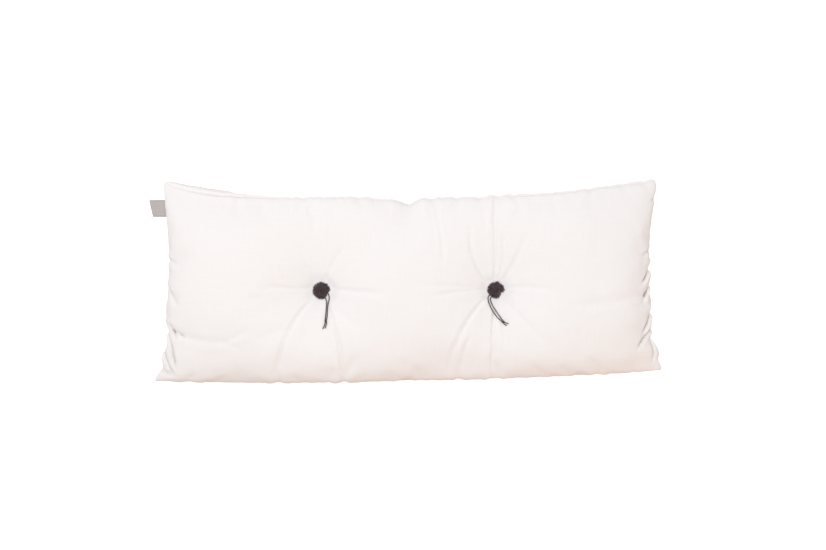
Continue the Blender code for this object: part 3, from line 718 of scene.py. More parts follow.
def makeCoverMesh():
    columns, rows = cover["columns"], cover["rows"]
    tuftsAcross = [place[0] / cover["halfLong"] for place in tuftPlaces.values()]
    tuftsUp = [tuftPlaces["left"][1] / cover["halfShort"]]
    spread = cover["tuftCrowdReach"]
    u, v = np.meshgrid(
        gridPlaces(columns, cover["halfLong"], cover["crownLong"], tuftsAcross, spread[0]),
        gridPlaces(rows, cover["halfShort"], cover["crownShort"], tuftsUp, spread[1]),
        indexing="ij",
    )
    front, back = rolledPanel(u, v, True), rolledPanel(u, v, False)
    index = np.arange(u.size).reshape(u.shape)
    rim = np.zeros(u.shape, bool)
    rim[[0, -1], :] = rim[:, [0, -1]] = True
    under = index.copy()
    under[~rim] = u.size + np.arange((~rim).sum())
    faces, uvs = [], []
    for i in range(columns):
        for j in range(rows):
            cell = [(i, j), (i + 1, j), (i + 1, j + 1), (i, j + 1)]
            faces.append([int(index[c]) for c in cell])
            places = [(u[c] * cover["halfLong"], v[c] * cover["halfShort"]) for c in cell]
            uvs += places
            faces.append([int(under[c]) for c in reversed(cell)])
            uvs += [(across, cover["backUv"] - up) for across, up in reversed(places)]
    points = np.concatenate([front.reshape(-1, 3), back[~rim]])
    mesh = bpy.data.meshes.new("cushionCover")
    mesh.from_pydata(points.tolist(), [], faces)
    mesh.uv_layers.new(name="cloth").data.foreach_set("uv", np.array(uvs).ravel())
    mesh.update()
    normals = np.empty(len(points) * 3)
    mesh.vertex_normals.foreach_get("vector", normals)

    x, y = front[..., 0], front[..., 1]
    fade = cover["seamFade"]
    nearSeam = smoothStep((1 - np.abs(v)) * fade[1]) * smoothStep((1 - np.abs(u)) * fade[0])
    gathers = gatherRelief(u, v, x, y)
    soft = cover["softCrease"] * nearSeam
    onFront = (tuftCreaseRelief(x, y, tuftCreases) + foldRelief(x, y)) * soft + gathers
    onBack = tuftCreaseRelief(x, y, backCreases) * soft + gathers
    relief = np.concatenate([onFront.ravel(), onBack[~rim]])
    loose = np.concatenate([nearSeam.ravel(), nearSeam[~rim]])
    atTuft = np.ones(len(points))
    for place in tuftPlaces.values():
        away = np.hypot(points[:, 0] - place[0], points[:, 1] - place[1])
        atTuft *= smoothStep((away - cover["seatRadius"]) / cover["seatBlend"])
    moved = relief - unevenFill(points) * loose * atTuft
    points -= normals.reshape(-1, 3) * moved[:, None]
    points[:, 2] = np.maximum(points[:, 2], 0.0)
    writePoints(mesh, points)
    mesh.shade_smooth()

    sewn = np.zeros(len(points), bool)
    sewn[: u.size] = rim.ravel()
    return mesh, sewn | (atTuft < cover["held"]) | (points[:, 2] < cover["floorPin"])


stitching = {
    "pitch": 0.0032,
    "length": 0.0019,
    "thread": 0.00042,
    "rise": 0.9,  # of a stitch's middle, in threads
    "lean": 14.0,
    "leanSpread": (0.4, 1.6),
    "seed": 5,
    "fromTip": 0.60,  # no stitches at the very tips, where the groove runs out
}


def distanceFrom(line, points):
    # the line is closed, and is cut into steps far shorter than the mesh's own
    line = np.vstack([line, line[:1]])
    share = np.linspace(0.0, 1.0, 8, endpoint=False)[:, None]
    finer = np.concatenate([a + (b - a) * share for a, b in zip(line, line[1:])])
    tree = KDTree(len(finer))
    for n, spot in enumerate(finer):
        tree.insert(spot, n)
    tree.balance()
    return np.array([tree.find(point)[2] for point in points])


def creaseCover(mesh, shift):
    # the sharp creases, the puckers and the seam's groove, on the fine mesh
    loops = np.empty(len(mesh.loops), dtype=np.int32)
    mesh.loops.foreach_get("vertex_index", loops)
    flat = np.empty(2 * len(mesh.loops))
    mesh.uv_layers["cloth"].data.foreach_get("uv", flat)
    places = np.zeros((len(mesh.vertices), 2))
    places[loops] = flat.reshape(-1, 2)
    onFront = places[:, 1] < cover["backUv"] / 2
    u = np.clip(places[:, 0] / cover["halfLong"], -1.0, 1.0)
    v = np.where(onFront, places[:, 1], cover["backUv"] - places[:, 1]) / cover["halfShort"]
    v = np.clip(v, -1.0, 1.0)
    points = readPoints(mesh)
    x, y = points[:, 0] - shift.x, points[:, 1] - shift.y
    within, edge = cover["sewnWithin"], cover["onEdge"]
    sewn = np.nonzero((1 - np.abs(u) < within) | (1 - np.abs(v) < within))[0]
    su, sv = u[sewn], v[sewn]
    low, right, top = sv < -edge, su > edge, sv > edge
    # the order round the seam: 0 to 2 along the bottom, then 2 more for each side
    order = np.where(low, su + 1, np.where(right, sv + 3, np.where(top, 5 - su, 7 - sv)))
    sewn = sewn[np.argsort(order)]
    fromSeam = distanceFrom(points[sewn], points)
    clear, over = cover["creaseClear"]
    loose = smoothStep((fromSeam - clear) / over)

    thin, shallow = cover["creaseWidth"], cover["creaseDepth"]
    front = tuftCreaseRelief(x, y, tuftCreases, thin) + foldRelief(x, y, thin)
    back = tuftCreaseRelief(x, y, backCreases, thin)
    creases = shallow * np.where(onFront, front, back) * loose
    puckers = tuftPuckers(x, y) * loose + seamPuckers(u, v, x, y, fromSeam)
    lip = fromSeam / cover["lipReach"] * np.exp(1.0 - fromSeam / cover["lipReach"])
    groove = np.exp(-((fromSeam / cover["grooveReach"]) ** 2))
    along = 1.0 - np.abs(u * v) ** cover["grooveTip"]
    seam = (cover["groove"] * groove - cover["lip"] * lip) * along
    normals = np.empty(points.size)
    mesh.vertex_normals.foreach_get("vector", normals)
    points -= normals.reshape(-1, 3) * (creases + puckers + seam)[:, None]
    points[:, 2] = np.maximum(points[:, 2], 0.0)
    writePoints(mesh, points)
    crease = mesh.attributes.new("crease", "FLOAT", "POINT")
    ofPuckers, ofSeam = cover["hollowShares"]
    depth = creases + ofPuckers * puckers + ofSeam * seam
    crease.data.foreach_set("value", depth.astype(np.float32))
    order = np.sort(order)
    stitched = along[sewn] > stitching["fromTip"]
    sides = [(order > 2 * k) & (order < 2 * k + 2) & stitched for k in range(4)]
    return [points[sewn[side]] for side in sides]


# A short cloth run fills the cover: the panels are cut a little larger than they lie, so
# they buckle beside the sewn seam and the tufts, which are held
filling = {
    "pressure": 3.0,
    "mostGrowth": 0.014,
    "leastGrowth": 0.000,
    "growthScale": 9.0,
    "growthShift": (2.0, 8.0, 4.0),
    "growthShare": (0.74, 1.5),  # how tight the cloth is on the whole, and how uneven that is
    "quality": 5,
    "mass": 0.22,
    "tension": 18.0,
    "shear": 6.0,
    "bending": 0.6,
    "frames": 20,
    "mostMove": 0.0055,
}


def fillCover(piece, pinned):
    start = readPoints(piece.data)
    piece.vertex_groups.new(name="held").add(np.nonzero(pinned)[0].tolist(), 1.0, "REPLACE")
    tight = piece.vertex_groups.new(name="tight")
    level, uneven = filling["growthShare"]
    for n, point in enumerate(start):
        place = Vector(point) * filling["growthScale"] + Vector(filling["growthShift"])
        share = level + uneven * noise.noise(place)
        tight.add([n], min(1.0, max(0.0, share)), "REPLACE")
    cloth = piece.modifiers.new("filling", "CLOTH")
    given = cloth.settings
    given.quality = filling["quality"]
    given.mass = filling["mass"]
    given.tension_stiffness = given.compression_stiffness = filling["tension"]
    given.shear_stiffness = filling["shear"]
    given.bending_stiffness = filling["bending"]
    given.vertex_group_mass = "held"
    given.use_pressure = True
    given.uniform_pressure_force = filling["pressure"]
    given.vertex_group_shrink = "tight"
    given.shrink_min, given.shrink_max = -filling["mostGrowth"], -filling["leastGrowth"]
    given.effector_weights.gravity = 0.0
    cloth.collision_settings.use_collision = False
    cloth.point_cache.frame_start, cloth.point_cache.frame_end = 1, filling["frames"]
    for frameNumber in range(1, filling["frames"] + 1):
        scene.frame_set(frameNumber)
    ready = piece.evaluated_get(bpy.context.evaluated_depsgraph_get())
    move = readPoints(ready.data) - start
    piece.modifiers.clear()
    piece.vertex_groups.clear()
    scene.frame_set(1)
    length = np.linalg.norm(move, axis=1, keepdims=True) + 1e-9
    move *= filling["mostMove"] * np.tanh(length / filling["mostMove"]) / length
    moved = np.round(np.percentile(length, (50, 90, 99)) * 1000, 1)
    print("filled: moved by", moved, "mm before the cap")
    writePoints(piece.data, start + move)


cotton = {
    "colour": (0.86, 0.83, 0.81),
    "surface": {
        "Roughness": 0.86,
        "Sheen Weight": 0.25,
        "Sheen Roughness": 0.5,
        "Specular IOR Level": 0.25,
    },
    "threads": 1700.0,  # to a metre
    "slub": 0.35,
    "dull": (0.846, 0.829, 0.824),
    "bright": (0.886, 0.872, 0.868),
    "rumple": {"Scale": 95.0, "Detail": 3.0, "Roughness": 0.55, "Distortion": 0.4},
    "rumpleShare": 2.6,
    "hollow": (0.48, 0.34, 0.27),  # painted-in shade, down in a crease
    "hollowFrom": 0.0012,
    "hollowTo": 0.0058,
    "hollowShare": 0.85,
    "depth": 0.00016,
    "strength": 0.8,
}


def makeCotton():
    material, tree, shader = newMaterial("whiteCotton", cotton)
    cloth = addNode(tree, "ShaderNodeUVMap", uv_map="cloth").outputs[0]
    weave = weaveOf(tree, cotton, cloth)
    rumple = addNode(tree, "ShaderNodeTexNoise", {"Vector": cloth, **cotton["rumple"]})
    depth = addNode(tree, "ShaderNodeAttribute", attribute_name="crease").outputs["Fac"]
    low, high = cotton["hollowFrom"], cotton["hollowTo"]
    hollow = rampBetween(tree, depth, low, high, cotton["hollowShare"], "SMOOTHSTEP")
    thread = blendColours(tree, weave["Shade"], cotton["dull"], cotton["bright"])
    warm = blendColours(tree, hollow, thread, cotton["hollow"])
    height = calc(
        tree, "MULTIPLY_ADD", rumple.outputs["Fac"], cotton["rumpleShare"], weave["Height"]
    )
    finishWith(tree, shader, cotton, warm, height)
    return material


def makeCover():
    mesh, pinned = makeCoverMesh()
    low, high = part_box("cushion")
    own = readPoints(mesh)
    shift = (Vector(low) + Vector(high)) / 2 - Vector((own.min(0) + own.max(0)) / 2)
    shift.z = 0.0
    writePoints(mesh, own + np.array(shift))
    piece = addPiece("cushionCover", mesh, makeCotton())
    print("cover shaped:", len(own), "points, placed by", [round(1000 * s, 1) for s in shift[:2]], "mm")
    fillCover(piece, pinned)
    finer = piece.modifiers.new("finer", "SUBSURF")
    finer.levels = finer.render_levels = 1
    piece = asMesh(piece)
    seam = creaseCover(piece.data, shift)
    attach(piece, "root")
    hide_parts("cushion")
    return piece, shift, seam


cushionCover, shift, seamLines = makeCover()
clothTree = BVHTree.FromPolygons(
    [v.co for v in cushionCover.data.vertices], [p.vertices for p in cushionCover.data.polygons]
)
tufts = {name: Vector((*place, 0.0)) + shift for name, place in tuftPlaces.items()}
print("cover done")


def heightOver(x, y, up=True):
    start = Vector((x, y, 1.0 if up else -1.0))
    hit = clothTree.ray_cast(start, Vector((0, 0, -1 if up else 1)))[0]
    return hit.z


# Strings: two strands of dark waxed string a tuft, knotted together once. X and Y from
# the tuft's middle, from under the tuft to the free end; a knot sits where the solid's does
strings = {
    "diameter": 0.0020,
    "gap": 0.0002,
    "plies": 3,
    "layLength": 0.0072,  # one full turn of the plies
    "grooveDepth": 0.16,
    "groovePower": 1.5,
    "endLength": 0.4,  # of the blunt end, as a share of the diameter
    "endRadius": (0.3, 0.7),  # at the very end, and what is added from there
    "sides": 18,
    "step": 0.0006,
    "curveSteps": 24,
    "smoothReach": 6,
    "underTuft": 0.68,  # where a strand starts, as a share of the way out to the rim
    "passSteps": 28,
    "passRise": 0.0016,  # how much higher the pass through the back is at its ends
}
strands = {
    "leftStrandA": [
        (0.0128, -0.0056),
        (0.0142, -0.0100),
        (0.0147, -0.0154),
        (0.0139, -0.0203),
        (0.0127, -0.0250),
        (0.0118, -0.0311),
        (0.0114, -0.0384),
        (0.0110, -0.0455),
        (0.0098, -0.0530),
        (0.0072, -0.0596),
        (0.0058, -0.0640),
        (0.0040, -0.0682),
        (0.0022, -0.0721),
    ],
    "leftStrandB": [
        (0.0080, -0.0153),
        (0.0090, -0.0194),
        (0.0100, -0.0240),
        (0.0093, -0.0311),
        (0.0087, -0.0384),
        (0.0081, -0.0455),
        (0.0073, -0.0530),
        (0.0097, -0.0596),
        (0.0089, -0.0638),
        (0.0078, -0.0674),
        (0.0068, -0.0707),
    ],
    "rightStrandA": [
        (-0.0136, -0.0112),
        (-0.0152, -0.0155),
        (-0.0147, -0.0205),
        (-0.0134, -0.0250),
        (-0.0092, -0.0350),
        (-0.0043, -0.0432),
        (0.0017, -0.0516),
        (0.0089, -0.0582),
        (0.0142, -0.0638),
        (0.0166, -0.0656),
        (0.0192, -0.0670),
    ],
    "rightStrandB": [
        (-0.0099, -0.0151),
        (-0.0103, -0.0186),
        (-0.0092, -0.0232),
        (-0.0070, -0.0285),
        (-0.0043, -0.0337),
        (0.0017, -0.0432),
        (0.0071, -0.0509),
        (0.0110, -0.0563),
        (0.0159, -0.0611),
        (0.0194, -0.0625),
        (0.0228, -0.0638),
    ],
}
knots = {
    "turn": {"left": 88.0, "right": -48.0},
    "size": (0.0060, 0.0048, 0.0042),
    "thickness": 0.0019,
    "steps": 110,
    "open": 0.03,  # of the winding's turn, so that its two ends stay apart
}

waxedString = {
    "colour": (0.05, 0.038, 0.035),
    "surface": {"Roughness": 0.62, "Sheen Weight": 0.15},
    "fineness": 4200.0,
    "lie": 0.2,
    "dull": (0.018, 0.013, 0.012),
    "bright": (0.105, 0.082, 0.075),
    "depth": 0.00012,
    "strength": 0.7,
}


def makeStringFinish():
    material, tree, shader = newMaterial("waxedString", waxedString)
    lay = addNode(tree, "ShaderNodeUVMap", uv_map="lay").outputs[0]
    strand = fibresOf(tree, waxedString, lay)
    colour = blendColours(tree, strand["Shade"], waxedString["dull"], waxedString["bright"])
    finishWith(tree, shader, waxedString, colour, strand["Height"])
    return material


def smoothRoute(points, step):
    # Catmull-Rom through the points, then even steps along it
    ends = np.array([2 * points[0] - points[1], *points, 2 * points[-1] - points[-2]])
    t = np.linspace(0.0, 1.0, strings["curveSteps"], endpoint=False)[:, None]
    fine = []
    for a, b, c, d in zip(ends, ends[1:], ends[2:], ends[3:]):
        cubic = (2 * a - 5 * b + 4 * c - d) * t**2 + (3 * b - a - 3 * c + d) * t**3
        fine.append(0.5 * (2 * b + (c - a) * t + cubic))
    fine = np.concatenate([*fine, ends[-2:-1]])
    along = np.concatenate([[0.0], np.cumsum(np.linalg.norm(np.diff(fine, axis=0), axis=1))])
    even = np.linspace(0.0, along[-1], max(2, round(along[-1] / step)) + 1)
    return np.stack([np.interp(even, along, fine[:, k]) for k in range(fine.shape[1])], axis=1)


def makeTwist(name, centre, diameter, finish):
    # a laid string on a centreline: the grooves between its plies run round it
    steps = np.diff(centre, axis=0)
    along = np.concatenate([[0.0], np.cumsum(np.linalg.norm(steps, axis=1))])
    tangent = np.gradient(centre, axis=0)
    tangent /= np.linalg.norm(tangent, axis=1, keepdims=True)
    side = np.cross(tangent[0], (0.0, 0.0, 1.0))
    sides = strings["sides"]
    narrow, widen = strings["endRadius"]
    round_ = np.linspace(0.0, 2 * math.pi, sides, endpoint=False)
    cos, sin = np.cos(round_)[:, None], np.sin(round_)[:, None]
    points, uvs = [], []
    for n, (middle, ahead) in enumerate(zip(centre, tangent)):
        side = side - ahead * side.dot(ahead)
        side /= np.linalg.norm(side)
        top = np.cross(side, ahead)
        end = min(along[n], along[-1] - along[n]) / (strings["endLength"] * diameter)
        blunt = math.sqrt(max(0.0, 1.0 - (1.0 - min(1.0, end)) ** 2)) * widen + narrow
        twist = 2 * math.pi * along[n] / strings["layLength"]
        lobe = np.abs(np.cos(0.5 * strings["plies"] * (round_ - twist)))
        groove = strings["grooveDepth"] * (1.0 - lobe) ** strings["groovePower"]
        radius = 0.5 * diameter * blunt * (1.0 - groove)
        points.append(middle + radius[:, None] * (cos * side + sin * top))
        turns = [k / sides - twist / (2 * math.pi) for k in range(sides)]
        uvs += [(turn * math.pi * diameter, along[n]) for turn in turns]
    rings = len(points)
    points = np.concatenate([*points, centre[:1], centre[-1:]])
    uvs += [(0.0, 0.0), (0.0, along[-1])]
    faces = []
    for n in range(rings - 1):
        for k in range(sides):
            a, b = n * sides + k, n * sides + (k + 1) % sides
            faces.append((a, b, b + sides, a + sides))
    first, last = rings * sides, rings * sides + 1
    for k in range(sides):
        n = (k + 1) % sides
        faces.append((first, n, k))
        faces.append((last, (rings - 1) * sides + k, (rings - 1) * sides + n))
    mesh = bpy.data.meshes.new(name)
    mesh.from_pydata(points.tolist(), [], faces)
    writeUvs(mesh, "lay", uvs)
    mesh.shade_smooth()
    return addPiece(name, mesh, finish)


def layOnCloth(route, radius, gap, up=True):
    # lifts a route in plan onto the cloth, with no step where the cloth dips under it
    heights = []
    for x, y in route:
        spots = ((0, 0), (radius, 0), (-radius, 0), (0, radius), (0, -radius))
        under = [heightOver(x + dx, y + dy, up) for dx, dy in spots]
        heights.append(max(under) + radius + gap if up else min(under) - radius - gap)
    heights = np.array(heights)
    reach = strings["smoothReach"]
    padded = np.pad(heights, reach, mode="edge")
    windows = np.lib.stride_tricks.sliding_window_view(padded, 2 * reach + 1)
    smooth = windows.mean(axis=1)
    level = np.maximum(smooth, heights) if up else np.minimum(smooth, heights)
    return np.column_stack([route, level])


def makeKnot(side, finish):
    # an overhand knot: a threefold winding drawn tight
    t = np.linspace(knots["open"], 2 * math.pi - knots["open"], knots["steps"])
    winding = np.stack(
        [np.sin(t) + 2 * np.sin(2 * t), np.cos(t) - 2 * np.cos(2 * t), -np.sin(3 * t)], axis=1
    )
    middle = (winding.max(0) + winding.min(0)) / 2
    half = (winding.max(0) - winding.min(0)) / 2
    winding = (winding - middle) / half * (np.array(knots["size"]) - knots["thickness"]) / 2
    turn = math.radians(knots["turn"][side])
    cos, sin = math.cos(turn), math.sin(turn)
    plan = winding[:, :2] @ np.array([[cos, sin], [-sin, cos]])
    low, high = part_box(side + "_knot")
    place = (Vector(low) + Vector(high)) / 2
    half = knots["size"][0] / 2
    steps = [n * half / 2 for n in (-2, -1, 0, 1, 2)]
    spots = [(place.x + across, place.y + along) for across in steps for along in steps]
    place.z = max(heightOver(*spot) for spot in spots) + knots["size"][2] / 2
    centre = np.column_stack([plan, winding[:, 2]]) + np.array(place)
    piece = makeTwist(side + "Knot", centre, knots["thickness"], finish)
    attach(piece, "root")
    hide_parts(side + "_knot")
    return piece


def makeStrings():
    finish = makeStringFinish()
    placed = {side: makeKnot(side, finish) for side in tufts}
    radius = strings["diameter"] / 2
    for name, plan in strands.items():
        side = "left" if name.startswith("left") else "right"
        letter = name[-1].lower()
        hidden = (strings["underTuft"] * plan[0][0], strings["underTuft"] * plan[0][1])
        points = [np.array((tufts[side].x + x, tufts[side].y + y)) for x, y in [hidden, *plan]]
        route = smoothRoute(points, strings["step"])
        centre = layOnCloth(route, radius, strings["gap"])
        piece = makeTwist(name, centre, strings["diameter"], finish)
        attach(piece, "root")
        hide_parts(f"{side}_tie_{letter}", f"{side}_end_{letter}")
    for side in tufts:
        low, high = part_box("back_stitch_" + side)
        middle = (Vector(low) + Vector(high)) / 2
        half = (high.x - low.x) / 2
        share = np.linspace(-1.0, 1.0, strings["passSteps"])
        sink = strings["passRise"] * (1.0 - share**2)
        level = high.z - radius - sink + strings["passRise"]
        centre = np.stack([middle.x + half * share, 0 * share + middle.y, level], axis=1)
        stitch = makeTwist("backStitch" + side.title(), centre, strings["diameter"], finish)
        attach(stitch, "root")
        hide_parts("back_stitch_" + side)


makeStrings()
print("strings laid")


# Tufts: yarn in layers that fans out from the middle and parts at the notches
tuftSet = {
    "radius": 0.0172,
    "height": 0.0118,
    "strands": 620,
    "yarn": 0.00082,
    "seed": {"left": 3, "right": 11},
    "turn": 137.508,  # degrees from one piece of yarn to the next
    "turnSpread": 5.0,
    "shorter": 0.62,  # share of its reach that the top layer lacks
    "shorterPower": 1.35,
    "reachSpread": (0.94, 1.03),
    "lift": (0.34, 0.66),  # the lowest layer's, and what the top one adds
    "liftSpread": (0.93, 1.07),
    "bend": {
        "Resolution": 6,
        "Start": (0.03, 0.0, 0.62),
        "Middle": (0.62, 0.0, 1.18),
        "End": (1.0, 0.0, 0.16),
    },
    "curl": 0.0026,
    "curlScale": 420.0,
    "domeHeight": 0.52,  # the tied middle's size, as shares of the tuft's
    "domeRadius": 0.82,
    "domeLift": 0.0002,
    "domeUnder": 0.0001,
    "domeRings": 5,
    "domeSteps": 40,
    "notches": {
        # angle, depth as a share of the radius, half width in degrees
        "left": [(-21, 0.28, 11), (-46, 0.15, 20)],
        "right": [(-30, 0.32, 12), (-52, 0.14, 16), (49, 0.12, 10), (220, 0.09, 16), (110, 0.05, 20)],
    },
}


def makeTuftTree(side, wool):
    group, given, out = newGroup(
        side + "TuftYarn",
        "GeometryNodeTree",
        {
            "Backing": "Geometry",
            "Strands": "Int",
            "Radius": "Float",
            "Height": "Float",
            "Yarn": "Float",
            "Seed": "Int",
        },
        {"Tuft": "Geometry"},
    )

    def anyBetween(low, high, extra):
        dice = addNode(group, "FunctionNodeRandomValue", {2: low, 3: high}, data_type="FLOAT")
        feed(group, dice.inputs["Seed"], calc(group, "ADD", given["Seed"], extra))
        return dice.outputs[1]

    def times(first, second):
        return calc(group, "MULTIPLY", first, second)

    count = group.nodes.new("GeometryNodeMeshLine")
    feed(group, count.inputs["Count"], given["Strands"])
    count.inputs["Offset"].default_value = (0.0, 0.0, 0.0)
    index = group.nodes.new("GeometryNodeInputIndex").outputs[0]
    spread = anyBetween(-tuftSet["turnSpread"], tuftSet["turnSpread"], 1.0)
    angle = calc(group, "MULTIPLY_ADD", index, tuftSet["turn"], spread)
    reach = 1.0
    for middle, depth, half in tuftSet["notches"][side]:
        off = calc(group, "WRAP", calc(group, "SUBTRACT", angle, middle), 180.0, -180.0)
        off = calc(group, "POWER", calc(group, "ABSOLUTE", calc(group, "DIVIDE", off, half)), 2.0)
        dent = times(calc(group, "EXPONENT", times(off, -1.0)), depth)
        reach = calc(group, "SUBTRACT", reach, dent)
    layer = calc(group, "DIVIDE", index, given["Strands"])  # 0 at the cloth, 1 on top
    shorter = calc(group, "POWER", layer, tuftSet["shorterPower"])
    shorter = calc(group, "MULTIPLY_ADD", shorter, -tuftSet["shorter"], 1.0)
    reach = times(times(reach, shorter), anyBetween(*tuftSet["reachSpread"], 2.0))
    reach = times(reach, given["Radius"])
    lowest, added = tuftSet["lift"]
    lift = calc(group, "MULTIPLY_ADD", layer, added, lowest)
    lift = times(times(lift, anyBetween(*tuftSet["liftSpread"], 3.0)), given["Height"])
    turn = addNode(group, "ShaderNodeCombineXYZ", {"Z": calc(group, "RADIANS", angle)})
    size = addNode(group, "ShaderNodeCombineXYZ", {"X": reach, "Y": reach, "Z": lift})

    bend = addNode(group, "GeometryNodeCurveQuadraticBezier", tuftSet["bend"])
    planted = addNode(
        group,
        "GeometryNodeInstanceOnPoints",
        {
            "Points": count.outputs[0],
            "Instance": bend.outputs[0],
            "Rotation": turn.outputs[0],
            "Scale": size.outputs[0],
        },
    )
    marked = addNode(
        group,
        "GeometryNodeStoreNamedAttribute",
        {"Geometry": planted.outputs[0], "Name": "strand"},
        data_type="FLOAT",
        domain="INSTANCE",
    )
    feed(group, marked.inputs["Value"], anyBetween(0.0, 1.0, 4.0))
    real = addNode(group, "GeometryNodeRealizeInstances", {"Geometry": marked.outputs[0]})
    place = group.nodes.new("GeometryNodeInputPosition").outputs[0]
    curl = addNode(
        group,
        "ShaderNodeTexNoise",
        {"Vector": place, "W": given["Seed"], "Scale": tuftSet["curlScale"], "Detail": 1.0},
        noise_dimensions="4D",
    )
    off = addNode(
        group,
        "ShaderNodeVectorMath",
        {0: curl.outputs["Color"], 1: (0.5, 0.5, 0.5)},
        operation="SUBTRACT",
    )
    wiggle = addNode(
        group,
        "ShaderNodeVectorMath",
        {0: off.outputs[0], "Scale": tuftSet["curl"]},
        operation="SCALE",
    )
    curled = addNode(
        group, "GeometryNodeSetPosition", {"Geometry": real.outputs[0], "Offset": wiggle.outputs[0]}
    )
    ring = addNode(
        group,
        "GeometryNodeCurvePrimitiveCircle",
        {"Resolution": 4, "Radius": times(given["Yarn"], 0.5)},
    )
    tubes = addNode(
        group,
        "GeometryNodeCurveToMesh",
        {"Curve": curled.outputs[0], "Profile Curve": ring.outputs[0], "Fill Caps": True},
    )
    smooth = addNode(group, "GeometryNodeSetShadeSmooth", {"Geometry": tubes.outputs[0]})
    joined = group.nodes.new("GeometryNodeJoinGeometry")
    group.links.new(smooth.outputs[0], joined.inputs[0])
    group.links.new(given["Backing"], joined.inputs[0])
    whole = addNode(group, "GeometryNodeRealizeInstances", {"Geometry": joined.outputs[0]})
    parts = {"Geometry": whole.outputs[0], "Material": wool}
    feed(group, out["Tuft"], addNode(group, "GeometryNodeSetMaterial", parts).outputs[0])
    return group


def makeBacking(side):
    # the tied middle under the yarn: a low dome that keeps the cloth from showing through
    rings, steps = tuftSet["domeRings"], tuftSet["domeSteps"]
    points, faces = [(0.0, 0.0, tuftSet["domeHeight"] * tuftSet["height"])], []
    for r in range(1, rings + 1):
        share = r / rings
        for k in range(steps):
            angle = 2 * math.pi * k / steps
            reach = 1.0
            for middle, depth, half in tuftSet["notches"][side]:
                off = (math.degrees(angle) - middle + 180.0) % 360.0 - 180.0
                reach -= depth * math.exp(-((off / half) ** 2))
            reach *= tuftSet["domeRadius"] * tuftSet["radius"] * share
            rise = tuftSet["height"] * tuftSet["domeHeight"] * math.sqrt(max(0.0, 1.0 - share**2))
            rise += tuftSet["domeLift"]
            points.append((reach * math.cos(angle), reach * math.sin(angle), rise))
    points.append((0.0, 0.0, tuftSet["domeUnder"]))
    for k in range(steps):
        n = (k + 1) % steps
        faces.append((0, 1 + k, 1 + n))
        for r in range(rings - 1):
            a = 1 + r * steps
            faces.append((a + k, a + steps + k, a + steps + n, a + n))
        last = 1 + (rings - 1) * steps
        faces.append((len(points) - 1, last + n, last + k))
    mesh = bpy.data.meshes.new(side + "Tuft")
    mesh.from_pydata(points, [], faces)
    mesh.shade_smooth()
    return mesh


blackWool = {
    "colour": (0.03, 0.024, 0.024),
    "surface": {
        "Roughness": 0.95,
        "Sheen Weight": 0.5,
        "Sheen Roughness": 0.4,
        "Specular IOR Level": 0.2,
    },
    "fineness": 2600.0,
    "lie": 1.0,
    "strandShare": 0.6,  # how much one yarn differs from the next, against its own fibres
    "fibreShare": 0.4,
    "dull": (0.013, 0.0055, 0.0080),
    "bright": (0.080, 0.036, 0.052),
    "depth": 0.0003,
    "strength": 0.9,
}


def makeWool():
    material, tree, shader = newMaterial("blackWool", blackWool)
    place = addNode(tree, "ShaderNodeTexCoord").outputs["Object"]
    yarn = fibresOf(tree, blackWool, place)
    strand = addNode(tree, "ShaderNodeAttribute", attribute_name="strand").outputs["Fac"]
    share = calc(tree, "MULTIPLY", yarn["Shade"], blackWool["fibreShare"])
    share = calc(tree, "MULTIPLY_ADD", strand, blackWool["strandShare"], share)
    colour = blendColours(tree, share, blackWool["dull"], blackWool["bright"])
    finishWith(tree, shader, blackWool, colour, yarn["Height"])
    return material


def makeTufts():
    wool = makeWool()
    for side, place in tufts.items():
        node = "tuft_" + side
        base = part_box(node)[0].z
        piece = addPiece(side + "Tuft", makeBacking(side), wool)
        sizes = {name.title(): tuftSet[name] for name in ("strands", "radius", "height", "yarn")}
        sizes["Seed"] = tuftSet["seed"][side]
        piece = runNodes(piece, makeTuftTree(side, wool), sizes)
        piece.data.transform(Matrix.Translation((place.x, place.y, base)))
        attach(piece, "root")
        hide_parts(node)
        print(piece.name, len(piece.data.polygons), "faces")


makeTufts()
print("tufts made")


# Label: a woven tape folded into a loop, caught in the left seam, with no wording
tape = {
    "top": 0.1585,
    "bottom": 0.1265,
    "endX": -0.4990,
    "shear": 0.0070,
    "layer": 0.0009,
    "gap": 0.0007,
    "seamZ": 0.050,
    "droop": 0.004,
    "reach": 0.0265,
    "tuck": 0.0012,
    "curl": 0.0011,
    "curlTurn": 3.4,
    "curlStart": 0.6,
    "ripple": 0.0004,
    "rippleTurn": 9.0,
    "rows": 44,
    "flats": 9,
    "bends": 12,
    "flat": (0.032, 0.062),
}

greyRibbon = {
    "colour": (0.45, 0.42, 0.42),
    "surface": {"Roughness": 0.7, "Sheen Weight": 0.2},
    "threads": 2600.0,
    "slub": 0.2,
    "dull": (0.39, 0.37, 0.36),
    "bright": (0.53, 0.50, 0.49),
    "selvedge": (0.30, 0.28, 0.28),
    "selvedgeFrom": 0.0022,  # in from the edge
    "selvedgeTo": 0.0014,
    "depth": 0.00014,
    "strength": 0.9,
}


def makeRibbonFinish():
    material, tree, shader = newMaterial("greyRibbon", greyRibbon)
    cloth = addNode(tree, "ShaderNodeUVMap", uv_map="tape").outputs[0]
    weave = weaveOf(tree, greyRibbon, cloth)
    across = addNode(tree, "ShaderNodeSeparateXYZ", {"Vector": cloth}).outputs["X"]
    half = tape["flat"][0] / 2
    middle = calc(tree, "ABSOLUTE", calc(tree, "SUBTRACT", across, half))
    low, high = half - greyRibbon["selvedgeFrom"], half - greyRibbon["selvedgeTo"]
    yarns = blendColours(tree, weave["Shade"], greyRibbon["dull"], greyRibbon["bright"])
    edge = rampBetween(tree, middle, low, high)
    colour = blendColours(tree, edge, yarns, greyRibbon["selvedge"])
    finishWith(tree, shader, greyRibbon, colour, weave["Height"])
    return material


